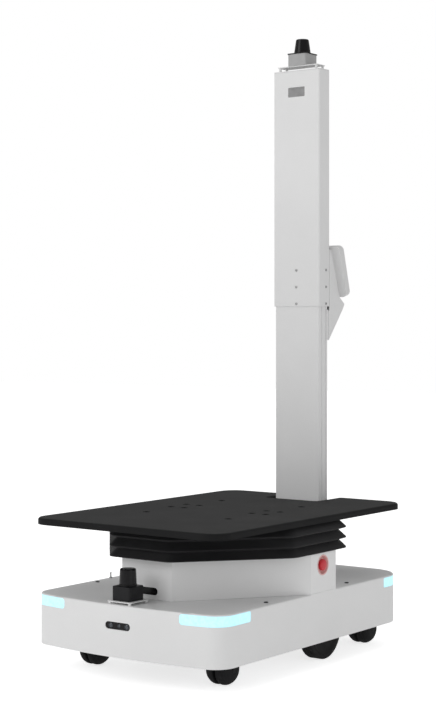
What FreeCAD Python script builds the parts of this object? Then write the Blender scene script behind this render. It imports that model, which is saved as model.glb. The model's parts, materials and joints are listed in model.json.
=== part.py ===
import FreeCAD, Part
import math
import os
from FreeCAD import Vector

os.makedirs("parts", exist_ok=True)

# Indoor transport robot: low drive base, lifting table on bellows, sensor mast behind.
# All sizes in mm. The robot's front faces -Y, its right-hand side is +X, the floor is z = 0.

# ---------------------------------------------------------------- driving sizes
gap = 0.3                      # clearance between neighbouring pieces

# moulded cover of the base
body_width = 570.0
body_length = 852.0
body_bottom_z = 62.5
body_top_z = 186.0
front_bow_radius = 1500.0
front_corner_radius = 52.0
rear_corner_radius = 90.0
body_wall = 3.0
deck_edge_round = 4.0

# light strips in the four top corners
light_front_reach = 111.0      # from the base's side, along the front
light_side_reach = 136.0       # from the base's front, along the side
rear_light_side_reach = 115.0  # from the base's rear, along the side
light_height = 24.5
light_drop = 3.5
light_depth = 7.0
light_end_round = 8.0
board_thick = 1.6

# tower below the table
tower_front_setback = 109.5
tower_front_half = 76.0
tower_chamfer_length = 280.5
tower_side_length = 113.0
tower_height = 97.0
tower_mast_distance = 61.0
tower_opening_inset = 38.0

# camera windows: long slots with round ends
front_camera_length = 75.0
front_camera_height = 17.5
front_camera_drop = 49.0
tower_window_length = 66.0
tower_window_height = 18.0
tower_window_rise = 19.5
window_recess = 1.2
module_width = 90.0
module_margin = 3.2

# chassis plate, rails and belly pans
chassis_rise = 45.5
chassis_thick = 5.0
rail_x = 102.0
rail_width = 24.0
rail_wall = 3.0
belly_rise = 1.7
belly_thick = 2.0
belly_half_width = 118.0
pan_slot_half = 30.0

# battery and drive controller
battery_width = 236.0
battery_length = 245.0
battery_height = 62.0
battery_front_gap = 41.0
controller_width = 240.0
controller_length = 118.0
controller_height = 40.0
controller_gap = 6.0
fin_height = 14.0

# drive wheels
drive_radius = 74.0
drive_width = 33.0
drive_side_gap = 52.0
drive_y = 111.0
tyre_thick = 12.0
motor_radius = 26.0
motor_length = 104.0
axle_radius = 8.0
bracket_half = 42.0

# casters
caster_radius = 37.5
caster_half_width = 34.0
caster_slot = 8.0
caster_side_gap = 90.2
caster_front_gap = 120.0
caster_rear_gap = 105.0
caster_trail = 30.0
caster_plate_thick = 4.0
caster_plate_half = 34.0
caster_hole_offset = 26.0
kingpin_radius = 7.0

# lifting table
table_width = 570.0
table_length = 840.0
table_centre_y = 1.5
table_rise = 71.6              # above the tower's top, at mid travel
table_thick = 16.0
table_corner_radius = 51.0
table_bevel = 6.0
notch_side_gap = 8.0
notch_front_gap = 27.0
rim_bolt_x = 254.0
rim_bolt_y = 322.0
pad_bolt_x = 42.0
pad_bolt_y = 65.0
pad_offset_x = 127.0
table_hole_radius = 4.25

# bellows, measured as its overhang past the tower
bellows_pleats = 3
bellows_depth = 18.5
bellows_undercut = 6.8         # height of the part that turns back below each peak
bellows_skin = 1.6
bellows_front_over = 31.5
bellows_half_over = 14.0
bellows_side_over = 5.0
bellows_chamfer_over = 74.5
bellows_rear_over = 47.0
bellows_back_over = 27.0
bellows_corner_round = 14.0
bellows_mouth_inset = 68.0

# lift
lift_post_x = 120.0
lift_post_front_setback = 216.5
lift_post_rear_setback = 120.0
lift_rod_radius = 10.0
lift_sleeve_radius = 16.0
lift_sleeve_foot = 26.0
lift_sleeve_drop = 11.0
lift_travel = 40.0
lift_bar = 24.0
lift_frame_height = 20.0
lift_frame_over = 18.0
piston_radius = 14.0
ram_radius = 27.0
ram_drop = 21.0
ram_foot_radius = 34.0
ram_motor_side = 44.0
ram_motor_height = 84.0
piston_head_radius = 24.0
piston_head_thick = 6.5

# mast
mast_rear_gap = 95.0           # from the base's rear to the mast's front
mast_half_width = 74.0
mast_depth = 50.0
sleeve_wall = 2.5
sleeve_bottom_z = 890.0
mast_top_z = 1527.0
column_step = 3.0
column_wall = 3.0
column_overlap = 120.0
mast_corner_round = 5.0
mast_rear_round = 1.5
mast_window_half = 26.5
mast_window_height = 26.0
mast_window_drop = 43.0
foot_flange = 22.0
foot_thick = 8.0
foot_socket_height = 52.0
foot_socket_wall = 4.0
foot_bolt_radius = 4.3
screw_pitch = 45.5
mast_screw_head = 3.6

# display and its wedge bracket behind the mast
display_half_width = 102.0
display_thick = 22.0
display_mast_gap = 27.3
display_lean = 38.0
display_top_z = 1056.5
display_drop = 135.5
display_corner = 14.0
display_rim_round = 3.0
display_border = 12.0
wedge_drop = 122.0
wedge_tip_back = 0.5
wedge_tip_drop = 24.0
wedge_flare = 8.0             # how much wider each side is at the tip
wedge_wall = 3.0
wedge_slit = 12.0

# scanning lidars, one on the deck and one on the mast
front_lidar_side = 54.0
mast_lidar_side = 58.0
lidar_base_height = 33.5
lidar_total_height = 73.5
front_lidar_low_radius = 20.8
front_lidar_top_radius = 18.8
mast_lidar_low_radius = 22.5
mast_lidar_top_radius = 17.2
lidar_window_wall = 2.0
front_lidar_gap = 39.0
bracket_side = 72.0
mast_bracket_width = 128.0
mast_bracket_depth = 44.0
mast_lidar_back = 5.0          # behind the mast's middle
bracket_thick = 2.0
standoff_radius = 3.5
front_standoff = 5.0
mast_standoff = 10.0
standoff_inset = 6.0

# emergency stop on the tower's right side
stop_drop = 31.0
stop_cup_radius = 25.2
stop_cup_depth = 12.0
stop_head_radius = 14.0
stop_travel = 4.0
stop_stem_radius = 5.0
stop_block_half = 15.0

# deck fittings
deck_screw_radius = 5.5
deck_screw_side_gap = 25.0
deck_screw_front_y = -192.0
deck_screw_rear_y = 168.0
aerial_side_gap = 8.5
aerial_y = -120.0

# ---------------------------------------------------------------- derived sizes
half_w = body_width / 2.0
front_y = -body_length / 2.0
rear_y = body_length / 2.0
deck_under_z = body_top_z - body_wall

light_front_x = half_w - light_front_reach
light_side_y = rear_y - light_side_reach
rear_light_side_y = rear_y - rear_light_side_reach
light_top_z = body_top_z - light_drop
light_bottom_z = light_top_z - light_height

mast_front_y = rear_y - mast_rear_gap
mast_mid_y = mast_front_y + mast_depth / 2.0
mast_window_top_z = mast_top_z - mast_window_drop
mast_window_bottom_z = mast_window_top_z - mast_window_height

tower_front_y = front_y + tower_front_setback
tower_side_front_y = tower_front_y + tower_chamfer_length
tower_side_rear_y = tower_side_front_y + tower_side_length
tower_rear_y = mast_front_y - tower_mast_distance
tower_top_z = body_top_z + tower_height
tower_mid_y = (tower_side_front_y + tower_side_rear_y) / 2.0
front_camera_z = body_top_z - front_camera_drop
tower_window_z = body_top_z + tower_window_rise

chassis_z = body_bottom_z + chassis_rise
chassis_top_z = chassis_z + chassis_thick
belly_z = body_bottom_z + belly_rise
drive_outer_x = half_w - drive_side_gap
caster_x = half_w - caster_side_gap
caster_front_y = front_y + caster_front_gap
caster_rear_y = rear_y - caster_rear_gap

table_bottom_z = tower_top_z + table_rise
table_top_z = table_bottom_z + table_thick
notch_half_width = mast_half_width + notch_side_gap
notch_front_y = mast_front_y - notch_front_gap

bellows_front_y = tower_front_y - bellows_front_over
bellows_front_half = tower_front_half + bellows_half_over
bellows_side_x = half_w + bellows_side_over
bellows_side_front_y = tower_side_front_y - bellows_chamfer_over
bellows_side_rear_y = tower_side_rear_y + bellows_rear_over
bellows_rear_y = tower_rear_y + bellows_back_over
lift_post_front_y = tower_front_y + lift_post_front_setback
lift_post_rear_y = tower_rear_y - lift_post_rear_setback
ram_y = (lift_post_front_y + lift_post_rear_y) / 2.0
lift_sleeve_top_z = tower_top_z - lift_sleeve_drop
ram_top_z = tower_top_z - ram_drop

stop_y = tower_mid_y - 2.5
stop_z = tower_top_z - stop_drop
front_lidar_y = front_y + front_lidar_gap

display_top_y = mast_front_y + mast_depth + display_mast_gap
display_length = math.hypot(display_lean, display_drop)
display_tilt = math.degrees(math.atan2(display_lean, display_drop))
display_bottom_y = display_top_y + display_lean
display_bottom_z = display_top_z - display_drop
wedge_bottom_z = display_bottom_z - wedge_drop
wedge_tip_y = display_bottom_y - wedge_tip_back
wedge_tip_z = display_bottom_z - wedge_tip_drop
# rearmost point: the rounded lower rim of the tilted display
rearmost_y = (display_top_y + (display_length - display_rim_round) * display_lean / display_length
              + display_rim_round * (1 - display_drop / display_length))
# the row's origin sits under the middle of everything, so all pieces move by this
row_shift_y = -(rearmost_y + front_y) / 2.0


# ---------------------------------------------------------------- shape helpers
def box(x0, x1, y0, y1, z0, z1):
    return Part.makeBox(x1 - x0, y1 - y0, z1 - z0, Vector(x0, y0, z0))


def cyl(radius, length, x, y, z, axis="z"):
    way = {"x": Vector(1, 0, 0), "y": Vector(0, 1, 0), "z": Vector(0, 0, 1)}[axis]
    return Part.makeCylinder(radius, length, Vector(x, y, z), way)


def polygon(points, z):
    vectors = [Vector(x, y, z) for x, y in points]
    return Part.makePolygon(vectors + [vectors[0]])


def prism(points, z0, z1):
    return Part.Face(polygon(points, z0)).extrude(Vector(0, 0, z1 - z0))


def prism_x(points, x0, x1):
    vectors = [Vector(x0, y, z) for y, z in points]
    wire = Part.makePolygon(vectors + [vectors[0]])
    return Part.Face(wire).extrude(Vector(x1 - x0, 0, 0))


def turned(points, x, y, z, axis="z"):
    # points are (radius, height) pairs of a closed outline, turned about the axis
    vectors = [Vector(r, 0, h) for r, h in points]
    face = Part.Face(Part.makePolygon(vectors + [vectors[0]]))
    solid = face.revolve(Vector(0, 0, 0), Vector(0, 0, 1), 360)
    if axis == "x":
        solid.rotate(Vector(0, 0, 0), Vector(0, 1, 0), 90)
    if axis == "-x":
        solid.rotate(Vector(0, 0, 0), Vector(0, 1, 0), -90)
    solid.translate(Vector(x, y, z))
    return solid


def edges_along(shape, axis, test=None):
    found = []
    for edge in shape.Edges:
        if len(edge.Vertexes) != 2:
            continue
        step = edge.Vertexes[1].Point.sub(edge.Vertexes[0].Point)
        length = step.Length
        if length < 1e-6:
            continue
        part = {"x": abs(step.x), "y": abs(step.y), "z": abs(step.z)}[axis]
        middle = edge.CenterOfMass
        if part / length > 0.999 and (test is None or test(middle)):
            found.append(edge)
    return found


def rounded_box(x0, x1, y0, y1, z0, z1, radius, axis="z"):
    shape = box(x0, x1, y0, y1, z0, z1)
    return shape.makeFillet(radius, edges_along(shape, axis))


def slot_block(length, height, x, y, z, depth):
    # a long hole with round ends, running along X and cut along +Y
    radius = height / 2.0
    half = length / 2.0 - radius
    middle = box(x - half, x + half, y, y + depth, z - radius, z + radius)
    left = cyl(radius, depth, x - half, y, z, "y")
    right = cyl(radius, depth, x + half, y, z, "y")
    return middle.fuse([left, right]).removeSplitter()


def plan_block(inset, z0, z1):
    # the base's plan: straight sides and rear, a gently bowed front, round corners
    w = half_w - inset
    bow = front_bow_radius - inset
    block = box(-w, w, front_y - 5.0, rear_y - inset, z0, z1)
    disc = cyl(bow, z1 - z0, 0, front_y + front_bow_radius, z0)
    block = block.common(disc)
    front_round = max(front_corner_radius - inset, 5.0)
    rear_round = max(rear_corner_radius - inset, 5.0)
    block = block.makeFillet(front_round, edges_along(block, "z", lambda p: p.y < 0))
    return block.makeFillet(rear_round, edges_along(block, "z", lambda p: p.y > rear_y - inset - 1))


def rounded_plan(points, radius, steps):
    # replaces every corner by a short arc of straight steps
    result = []
    count = len(points)
    for i in range(count):
        ax, ay = points[i - 1]
        bx, by = points[i]
        cx, cy = points[(i + 1) % count]
        ux, uy = ax - bx, ay - by
        vx, vy = cx - bx, cy - by
        lu, lv = math.hypot(ux, uy), math.hypot(vx, vy)
        ux, uy, vx, vy = ux / lu, uy / lu, vx / lv, vy / lv
        angle = math.acos(ux * vx + uy * vy)
        reach = min(radius / math.tan(angle / 2.0), lu * 0.45, lv * 0.45)
        sx, sy = bx + ux * reach, by + uy * reach
        ex, ey = bx + vx * reach, by + vy * reach
        for k in range(steps + 1):
            t = k / steps
            px = (1 - t) ** 2 * sx + 2 * t * (1 - t) * bx + t * t * ex
            py = (1 - t) ** 2 * sy + 2 * t * (1 - t) * by + t * t * ey
            result.append((px, py))
    return result


def inset_plan(points, distance):
    # moves every side of a convex plan inwards by the same distance
    result = []
    count = len(points)
    lines = []
    for i in range(count):
        ax, ay = points[i]
        bx, by = points[(i + 1) % count]
        dx, dy = bx - ax, by - ay
        length = math.hypot(dx, dy)
        nx, ny = -dy / length, dx / length
        lines.append((ax + nx * distance, ay + ny * distance, dx, dy))
    for i in range(count):
        px, py, dx, dy = lines[i - 1]
        qx, qy, ex, ey = lines[i]
        cross = dx * ey - dy * ex
        t = ((qx - px) * ey - (qy - py) * ex) / cross
        result.append((px + dx * t, py + dy * t))
    return result


def octagon(front_y_, front_half, side_x, side_front, side_rear, rear_y_):
    # counter-clockwise from the front left corner; the rear chamfers keep the front's slope
    slope = (side_x - front_half) / (side_front - front_y_)
    rear_half = side_x - (rear_y_ - side_rear) * slope
    right = [(front_half, front_y_), (side_x, side_front), (side_x, side_rear), (rear_half, rear_y_)]
    left = [(-x, y) for x, y in reversed(right)]
    return right + left


def ring_loft(levels):
    wires = [polygon(points, z) for points, z in levels]
    return Part.makeLoft(wires, True, True)


def mirrored_x(shape):
    return shape.mirror(Vector(0, 0, 0), Vector(1, 0, 0))


def save(name, *solids):
    # one file per piece; several solids in it stay separate
    shapes = []
    for solid in solids:
        copy = solid.copy()
        copy.translate(Vector(0, row_shift_y, 0))
        shapes.extend(copy.Solids)
    result = shapes[0] if len(shapes) == 1 else Part.makeCompound(shapes)
    for shape in shapes:
        if not shape.isValid() or shape.Volume <= 0:
            print("invalid", name, shape.Volume)
    result.exportStep("parts/" + name + ".step")
    bounds = result.BoundBox
    print("%-22s %2d solids  x %.1f %.1f  y %.1f %.1f  z %.1f %.1f" % (
        name, len(shapes), bounds.XMin, bounds.XMax, bounds.YMin, bounds.YMax,
        bounds.ZMin, bounds.ZMax))


# ---------------------------------------------------------------- cover of the base, deck and tower
tower_plan = octagon(tower_front_y, tower_front_half, half_w, tower_side_front_y,
                     tower_side_rear_y, tower_rear_y)
tower_inner = inset_plan(tower_plan, body_wall)
tower_mouth = inset_plan(tower_plan, tower_opening_inset)


def corner_zone(sign_x, sign_y, grow):
    # the block in which a light strip sits, its two ends rounded
    x0 = light_front_x - grow
    y0 = (rear_light_side_y if sign_y > 0 else light_side_y) - grow
    z0 = light_bottom_z - grow
    z1 = light_top_z + grow
    block = box(x0, half_w + 20, y0, rear_y + 20, z0, z1)
    ends = edges_along(block, "y", lambda p: p.x < x0 + 1)
    block = block.makeFillet(light_end_round + grow, ends)
    ends = edges_along(block, "x", lambda p: p.y < y0 + 1)
    block = block.makeFillet(light_end_round * 0.5 + grow, ends)
    if sign_x < 0:
        block = block.mirror(Vector(0, 0, 0), Vector(1, 0, 0))
    if sign_y < 0:
        block = block.mirror(Vector(0, 0, 0), Vector(0, 1, 0))
    return block


recess_depth = light_depth + board_thick + 3 * gap
corners = [(1, -1), (-1, -1), (1, 1), (-1, 1)]

outer = plan_block(0, body_bottom_z, body_top_z)
top_rim = [e for e in outer.Edges if abs(e.BoundBox.ZMin - body_top_z) < 1e-6
           and abs(e.BoundBox.ZMax - body_top_z) < 1e-6]
outer = outer.makeFillet(deck_edge_round, top_rim)
cover = outer.cut(plan_block(body_wall, body_bottom_z - 1, deck_under_z))
# pockets that carry the light strips
pocket_ring = plan_block(body_wall, light_bottom_z - 2.5, deck_under_z + 0.5)
pocket_ring = pocket_ring.cut(plan_block(recess_depth + 2.5, light_bottom_z - 4, body_top_z))
for sx, sy in corners:
    start_y = (rear_light_side_y if sy > 0 else light_side_y) - 2.5
    zone = box(min(sx * (light_front_x - 2.5), sx * half_w), max(sx * (light_front_x - 2.5), sx * half_w),
               min(sy * start_y, sy * rear_y), max(sy * start_y, sy * rear_y),
               light_bottom_z - 3, deck_under_z + 1)
    cover = cover.fuse(pocket_ring.common(zone))
light_band = plan_block(-8, light_bottom_z - 4, body_top_z + 6)
light_band = light_band.cut(plan_block(recess_depth, light_bottom_z - 5, body_top_z + 7))
for sx, sy in corners:
    zone = corner_zone(sx, sy, 0)
    cover = cover.cut(light_band.common(zone))
# below the tower the rim stays square, so that the tower's side runs on flush
side_flat = box(-half_w, half_w, tower_side_front_y, tower_side_rear_y, deck_under_z - 4, body_top_z)
side_fill = side_flat.cut(box(-half_w + body_wall, half_w - body_wall, front_y, rear_y, 0, body_top_z + 1))
cover = cover.fuse(side_fill)
cover = cover.cut(prism(tower_mouth, deck_under_z - 5, body_top_z + 1))
# opening for the mast and the camera window
cover = cover.cut(box(-mast_half_width + column_step - gap, mast_half_width - column_step + gap,
                      mast_front_y + column_step - gap, mast_front_y + mast_depth - column_step + gap,
                      deck_under_z - 2, body_top_z + 2))
cover = cover.cut(slot_block(front_camera_length, front_camera_height, 0, front_y - 2, front_camera_z, 12))
cover = cover.removeSplitter()
save("body_cover", cover)

# the tower stands on the deck, flush with the base's sides
tower = prism(tower_plan, body_top_z + gap, tower_top_z)
tower = tower.makeFillet(2.0, [e for e in tower.Edges if abs(e.BoundBox.ZMin - tower_top_z) < 1e-6])
tower = tower.cut(prism(tower_inner, body_top_z, tower_top_z - body_wall))
tower = tower.cut(prism(tower_mouth, tower_top_z - 10, tower_top_z + 1))
tower_flange = prism(inset_plan(tower_plan, 0.5), body_top_z + gap, body_top_z + gap + 3)
tower_flange = tower_flange.cut(prism(inset_plan(tower_plan, body_wall + 14), body_top_z, body_top_z + 5))
tower = tower.fuse(tower_flange)
tower = tower.cut(slot_block(tower_window_length, tower_window_height, 0, tower_front_y - 2,
                             tower_window_z, 12))
tower = tower.cut(cyl(stop_cup_radius + gap, stop_cup_depth + 2, half_w - 10, stop_y, stop_z, "x"))
tower = tower.removeSplitter()
save("tower_cover", tower)

lenses = []
boards = []
for sx, sy in corners:
    band = plan_block(0.2, light_bottom_z - 4, body_top_z)
    band = band.cut(plan_block(light_depth, light_bottom_z - 5, body_top_z + 1))
    lens = band.common(corner_zone(sx, sy, -gap))
    lenses.append(lens)
    strip = plan_block(light_depth + gap, light_bottom_z + 3, light_top_z - 3)
    strip = strip.cut(plan_block(light_depth + gap + board_thick, light_bottom_z, light_top_z))
    reach = 6.0
    start_y = (rear_light_side_y if sy > 0 else light_side_y) + reach
    zone = box(min(sx * (light_front_x + reach), sx * half_w), max(sx * (light_front_x + reach), sx * half_w),
               min(sy * start_y, sy * rear_y), max(sy * start_y, sy * rear_y),
               light_bottom_z, light_top_z)
    boards.append(strip.common(zone))
save("front_light_lenses", lenses[0], lenses[1])
save("rear_light_lenses", lenses[2], lenses[3])
save("light_boards", *boards)

# ---------------------------------------------------------------- cameras
bezel = slot_block(front_camera_length - 2 * gap, front_camera_height - 2 * gap, 0,
                   front_y + window_recess + 0.6, front_camera_z, 6.0)
lens_places = [(-22.0, 5.0), (3.5, 3.2), (26.0, 5.0)]
glass_lenses = []
for lens_x, lens_r in lens_places:
    bezel = bezel.cut(cyl(lens_r + gap, 3.5, lens_x, front_y + window_recess - 1, front_camera_z, "y"))
    glass_lenses.append(turned([(0, 0), (lens_r, 0), (lens_r, 1.2), (lens_r * 0.7, 1.7), (0, 1.9)],
                               0, 0, 0))
for lens, (lens_x, lens_r) in zip(glass_lenses, lens_places):
    lens.rotate(Vector(0, 0, 0), Vector(1, 0, 0), 90)
    lens.translate(Vector(lens_x, front_y + window_recess + 2.2, front_camera_z))
save("front_camera_bezel", bezel)
save("front_camera_lenses", *glass_lenses)
save("tower_camera_window", slot_block(tower_window_length - 2 * gap, tower_window_height - 2 * gap, 0,
                                       tower_front_y + window_recess, tower_window_z, 3.0))
module_half = module_width / 2.0
front_half_z = front_camera_height / 2.0 + module_margin
tower_half_z = tower_window_height / 2.0 + module_margin
front_module = rounded_box(-module_half, module_half, front_y + 8.5, front_y + 30,
                           front_camera_z - front_half_z, front_camera_z + front_half_z, 5, "y")
tower_module = rounded_box(-module_half, module_half, tower_front_y + 4.8, tower_front_y + 28,
                           tower_window_z - tower_half_z, tower_window_z + tower_half_z, 5, "y")
module_y = mast_front_y + 7.0
mast_module = rounded_box(-30, 30, module_y, module_y + 18, mast_window_bottom_z - 4,
                          mast_window_top_z + 4, 4, "y")
mast_eye = cyl(6.0, 3.0, 9.0, module_y - 2.9, (mast_window_bottom_z + mast_window_top_z) / 2.0, "y")
save("camera_modules", front_module, tower_module, mast_module.fuse(mast_eye))

# ---------------------------------------------------------------- chassis
plate = plan_block(body_wall + 2.0, chassis_z, chassis_top_z)
for side in (-1, 1):
    x0 = side * (drive_outer_x - drive_width - 28)
    x1 = side * (half_w + 5)
    notch = box(min(x0, x1), max(x0, x1), drive_y - drive_radius - 10, drive_y + drive_radius + 10,
                chassis_z - 1, chassis_top_z + 1)
    plate = plate.cut(notch)
pin_places = []
for side in (-1, 1):
    for pin_y in (caster_front_y, caster_rear_y):
        pin_places.append((side * caster_x, pin_y))
for px, py in pin_places:
    for dx in (-caster_hole_offset, caster_hole_offset):
        for dy in (-caster_hole_offset, caster_hole_offset):
            plate = plate.cut(cyl(3.2, 20, px + dx, py + dy, chassis_z - 5))
save("chassis_plate", plate)

rails = []
for y0, y1 in ((front_y + 30, drive_y - 44), (drive_y + 44, rear_y - 24)):
    channel = box(rail_x - rail_width / 2, rail_x + rail_width / 2, y0, y1, belly_z + belly_thick + gap,
                  chassis_z - gap)
    hollow = box(rail_x - rail_width / 2 + rail_wall, rail_x + rail_width, y0 - 1, y1 + 1,
                 belly_z + belly_thick + gap + rail_wall, chassis_z - gap - rail_wall)
    rail = channel.cut(hollow)
    rails.extend([rail, mirrored_x(rail)])
save("chassis_rails", *rails)
pans = []
for y0, y1 in ((front_y + 24, drive_y - 42), (drive_y + 42, rear_y - 18)):
    pan = rounded_box(-belly_half_width, belly_half_width, y0, y1, belly_z, belly_z + belly_thick, 12)
    slots = []
    for k in range(5):
        mid = (y0 + y1) / 2.0 + (k - 2) * 16.0
        slots.append(rounded_box(-pan_slot_half, pan_slot_half, mid - 3, mid + 3, belly_z - 1, belly_z + 5, 2.9))
    pans.append(pan.cut(slots))
save("belly_pans", *pans)

# ---------------------------------------------------------------- battery and electronics
battery_z = chassis_top_z + gap
battery_top_z = battery_z + battery_height
bx = battery_width / 2.0
by0 = front_y + battery_front_gap
by1 = by0 + battery_length
battery = rounded_box(-bx, bx, by0, by1, battery_z, battery_top_z, 6)
battery_lid = rounded_box(-bx + 6, bx - 6, by0 + 6, by1 - 6, battery_top_z, battery_top_z + 2, 5)
handle = box(-bx / 3, bx / 3, (by0 + by1) / 2 - 8, (by0 + by1) / 2 + 8, battery_top_z + 1,
             battery_top_z + 4.5)
save("battery", battery.fuse([battery_lid, handle]).removeSplitter())
hx = controller_width / 2.0
hy1 = mast_front_y + column_step - foot_flange - controller_gap
hy0 = hy1 - controller_length
control = rounded_box(-hx, hx, hy0, hy1, battery_z, battery_z + controller_height, 4)
fins = []
fin_pitch = (controller_width - 40.0) / 10.0
for k in range(11):
    fin_x = -hx + 20.0 + k * fin_pitch
    fins.append(box(fin_x - 2, fin_x + 2, hy0 + 8, hy1 - 8, battery_z + controller_height - 1,
                    battery_z + controller_height + fin_height))
save("drive_controller", control.fuse(fins).removeSplitter())

# ---------------------------------------------------------------- drive wheels
wheel_inner_x = drive_outer_x - drive_width
bracket_x1 = wheel_inner_x - 4.0
bracket_x0 = bracket_x1 - 6.0
bracket = rounded_box(bracket_x0, bracket_x1, drive_y - bracket_half, drive_y + bracket_half,
                      drive_radius - motor_radius - 4, chassis_z - gap, 8, "x")
shelf = box(bracket_x0 - 26, bracket_x0 + 1, drive_y - bracket_half, drive_y + bracket_half,
            chassis_z - gap - 5, chassis_z - gap)
bracket = bracket.fuse(shelf)
bracket = bracket.cut(cyl(axle_radius + 4, 20, bracket_x0 - 5, drive_y, drive_radius, "x"))
bracket = bracket.removeSplitter()
save("drive_brackets", bracket, mirrored_x(bracket))
motor_x1 = bracket_x0 - gap
gearbox = cyl(motor_radius, 40, motor_x1 - 40, drive_y, drive_radius, "x")
can = cyl(motor_radius - 3, motor_length - 39, motor_x1 - motor_length, drive_y, drive_radius, "x")
motor = gearbox.fuse(can)
motor = motor.cut(cyl(axle_radius + gap, 22, motor_x1 - 20, drive_y, drive_radius, "x"))
motor = motor.removeSplitter()
save("drive_motors", motor, mirrored_x(motor))

rim_r = drive_radius - tyre_thick
hub_points = [(0, -drive_width / 2 + 3), (14, -drive_width / 2 + 3), (16, -5), (rim_r - 8, -5),
              (rim_r - 5, -drive_width / 2 + 2), (rim_r - gap, -drive_width / 2 + 2),
              (rim_r - gap, drive_width / 2 - 2), (rim_r - 5, drive_width / 2 - 2), (rim_r - 9, 3),
              (20, 3), (17, drive_width / 2 - 6), (12, drive_width / 2 - 3), (0, drive_width / 2 - 3)]
hub = turned(hub_points, drive_outer_x - drive_width / 2, drive_y, drive_radius, "x")
shaft = cyl(axle_radius, wheel_inner_x + 8 - (motor_x1 - 16), motor_x1 - 16, drive_y, drive_radius, "x")
hub = hub.fuse(shaft)
for k in range(6):
    turn = math.radians(60 * k + 30)
    hub = hub.cut(cyl(9, 60, wheel_inner_x - 5, drive_y + 33 * math.cos(turn),
                      drive_radius + 33 * math.sin(turn), "x"))
hub = hub.removeSplitter()
tyre_points = [(rim_r, -drive_width / 2), (drive_radius - 1.8, -drive_width / 2),
               (drive_radius - 0.6, -drive_width / 2 + 0.6), (drive_radius, -drive_width / 2 + 1.8),
               (drive_radius, drive_width / 2 - 1.8), (drive_radius - 0.6, drive_width / 2 - 0.6),
               (drive_radius - 1.8, drive_width / 2), (rim_r, drive_width / 2)]
tyre = turned(tyre_points, drive_outer_x - drive_width / 2, drive_y, drive_radius, "x")
save("drive_hub_right", hub)
save("drive_hub_left", mirrored_x(hub))
save("drive_tyre_right", tyre)
save("drive_tyre_left", mirrored_x(tyre))

# ---------------------------------------------------------------- casters
plate_z0 = chassis_z - gap - caster_plate_thick
race_top = plate_z0 - gap
race_bottom = race_top - 8.0
caster_plates = []
for px, py in pin_places:
    top = rounded_box(px - caster_plate_half, px + caster_plate_half, py - caster_plate_half,
                      py + caster_plate_half, plate_z0, plate_z0 + caster_plate_thick, 6)
    pin = cyl(kingpin_radius, 14, px, py, plate_z0 - 13.5)
    caster_plates.append(top.fuse(pin).removeSplitter())
save("caster_plates", *caster_plates)


def caster_fork(px, py):
    race = turned([(kingpin_radius + gap, race_bottom), (20, race_bottom), (25, race_bottom + 3),
                   (25, race_top), (kingpin_radius + gap, race_top)], px, py, 0)
    leg_half = caster_slot / 2.0 - 0.6
    leg = prism_x([(py - 17, race_bottom + 1), (py + 20, race_bottom + 1),
                   (py + caster_trail + 11, caster_radius + 6), (py + caster_trail + 9, caster_radius - 7),
                   (py + caster_trail - 8, caster_radius - 9), (py + caster_trail - 12, caster_radius + 2)],
                  px - leg_half, px + leg_half)
    leg = leg.makeFillet(4.0, edges_along(leg, "x", lambda p: p.z < caster_radius + 12))
    leg = leg.cut(cyl(kingpin_radius + gap, 12, px, py, race_bottom - 8))
    fork = race.fuse(leg)
    fork = fork.cut(cyl(kingpin_radius + gap, 40, px, py, race_bottom - 8))
    fork = fork.cut(cyl(4.0 + gap, 20, px - 10, py + caster_trail, caster_radius, "x"))
    return fork.removeSplitter()


def caster_wheel(px, py):
    # two domed wheels on one short axle, together almost a ball
    r = caster_radius
    inner = caster_slot / 2.0
    outer_face = caster_half_width
    points = [(4.0, inner), (r - 2, inner), (r, inner + 2), (r, outer_face * 0.32),
              (r * 0.985, outer_face * 0.43), (r * 0.945, outer_face * 0.56), (r * 0.87, outer_face * 0.70),
              (r * 0.76, outer_face * 0.82), (r * 0.61, outer_face * 0.92), (r * 0.44, outer_face * 0.98),
              (r * 0.3, outer_face), (4.0, outer_face)]
    right = turned(points, px, py + caster_trail, r, "x")
    left = turned(points, px, py + caster_trail, r, "-x")
    axle = cyl(4.0, 2 * outer_face - 2, px - outer_face + 1, py + caster_trail, r, "x")
    return right.fuse([left, axle]).removeSplitter()


caster_names = {(-1, -1): "front_left", (-1, 1): "rear_left", (1, -1): "front_right", (1, 1): "rear_right"}
for px, py in pin_places:
    label = caster_names[(1 if px > 0 else -1, 1 if py > 0 else -1)]
    save("caster_fork_" + label, caster_fork(px, py))
    save("caster_wheel_" + label, caster_wheel(px, py))

# ---------------------------------------------------------------- lift below the table
post_places = []
for side in (-1, 1):
    for py in (lift_post_front_y, lift_post_rear_y):
        post_places.append((side * lift_post_x, py))
frame_bottom_z = table_bottom_z - gap - lift_frame_height
sleeve_z0 = chassis_top_z + gap
guide_sleeves = []
lift_rods = []
for px, py in post_places:
    sleeve = turned([(lift_rod_radius + gap, sleeve_z0), (lift_sleeve_foot, sleeve_z0),
                     (lift_sleeve_foot, sleeve_z0 + 6),
                     (lift_sleeve_radius, sleeve_z0 + 8), (lift_sleeve_radius, lift_sleeve_top_z - 12),
                     (lift_sleeve_radius + 3, lift_sleeve_top_z - 12),
                     (lift_sleeve_radius + 3, lift_sleeve_top_z), (lift_rod_radius + gap, lift_sleeve_top_z)],
                    px, py, 0)
    guide_sleeves.append(sleeve)
    rod_z0 = sleeve_z0 + lift_travel + 8.0
    lift_rods.append(cyl(lift_rod_radius, frame_bottom_z - gap - rod_z0, px, py, rod_z0))
save("lift_guide_sleeves", *guide_sleeves)
save("lift_rods", *lift_rods)
ram = turned([(piston_radius + gap, sleeve_z0 + 4), (piston_radius + gap, ram_top_z), (ram_radius, ram_top_z),
              (ram_radius, sleeve_z0 + 12), (ram_foot_radius, sleeve_z0 + 10), (ram_foot_radius, sleeve_z0),
              (0, sleeve_z0), (0, sleeve_z0 + 4)], 0, ram_y, 0)
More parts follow.
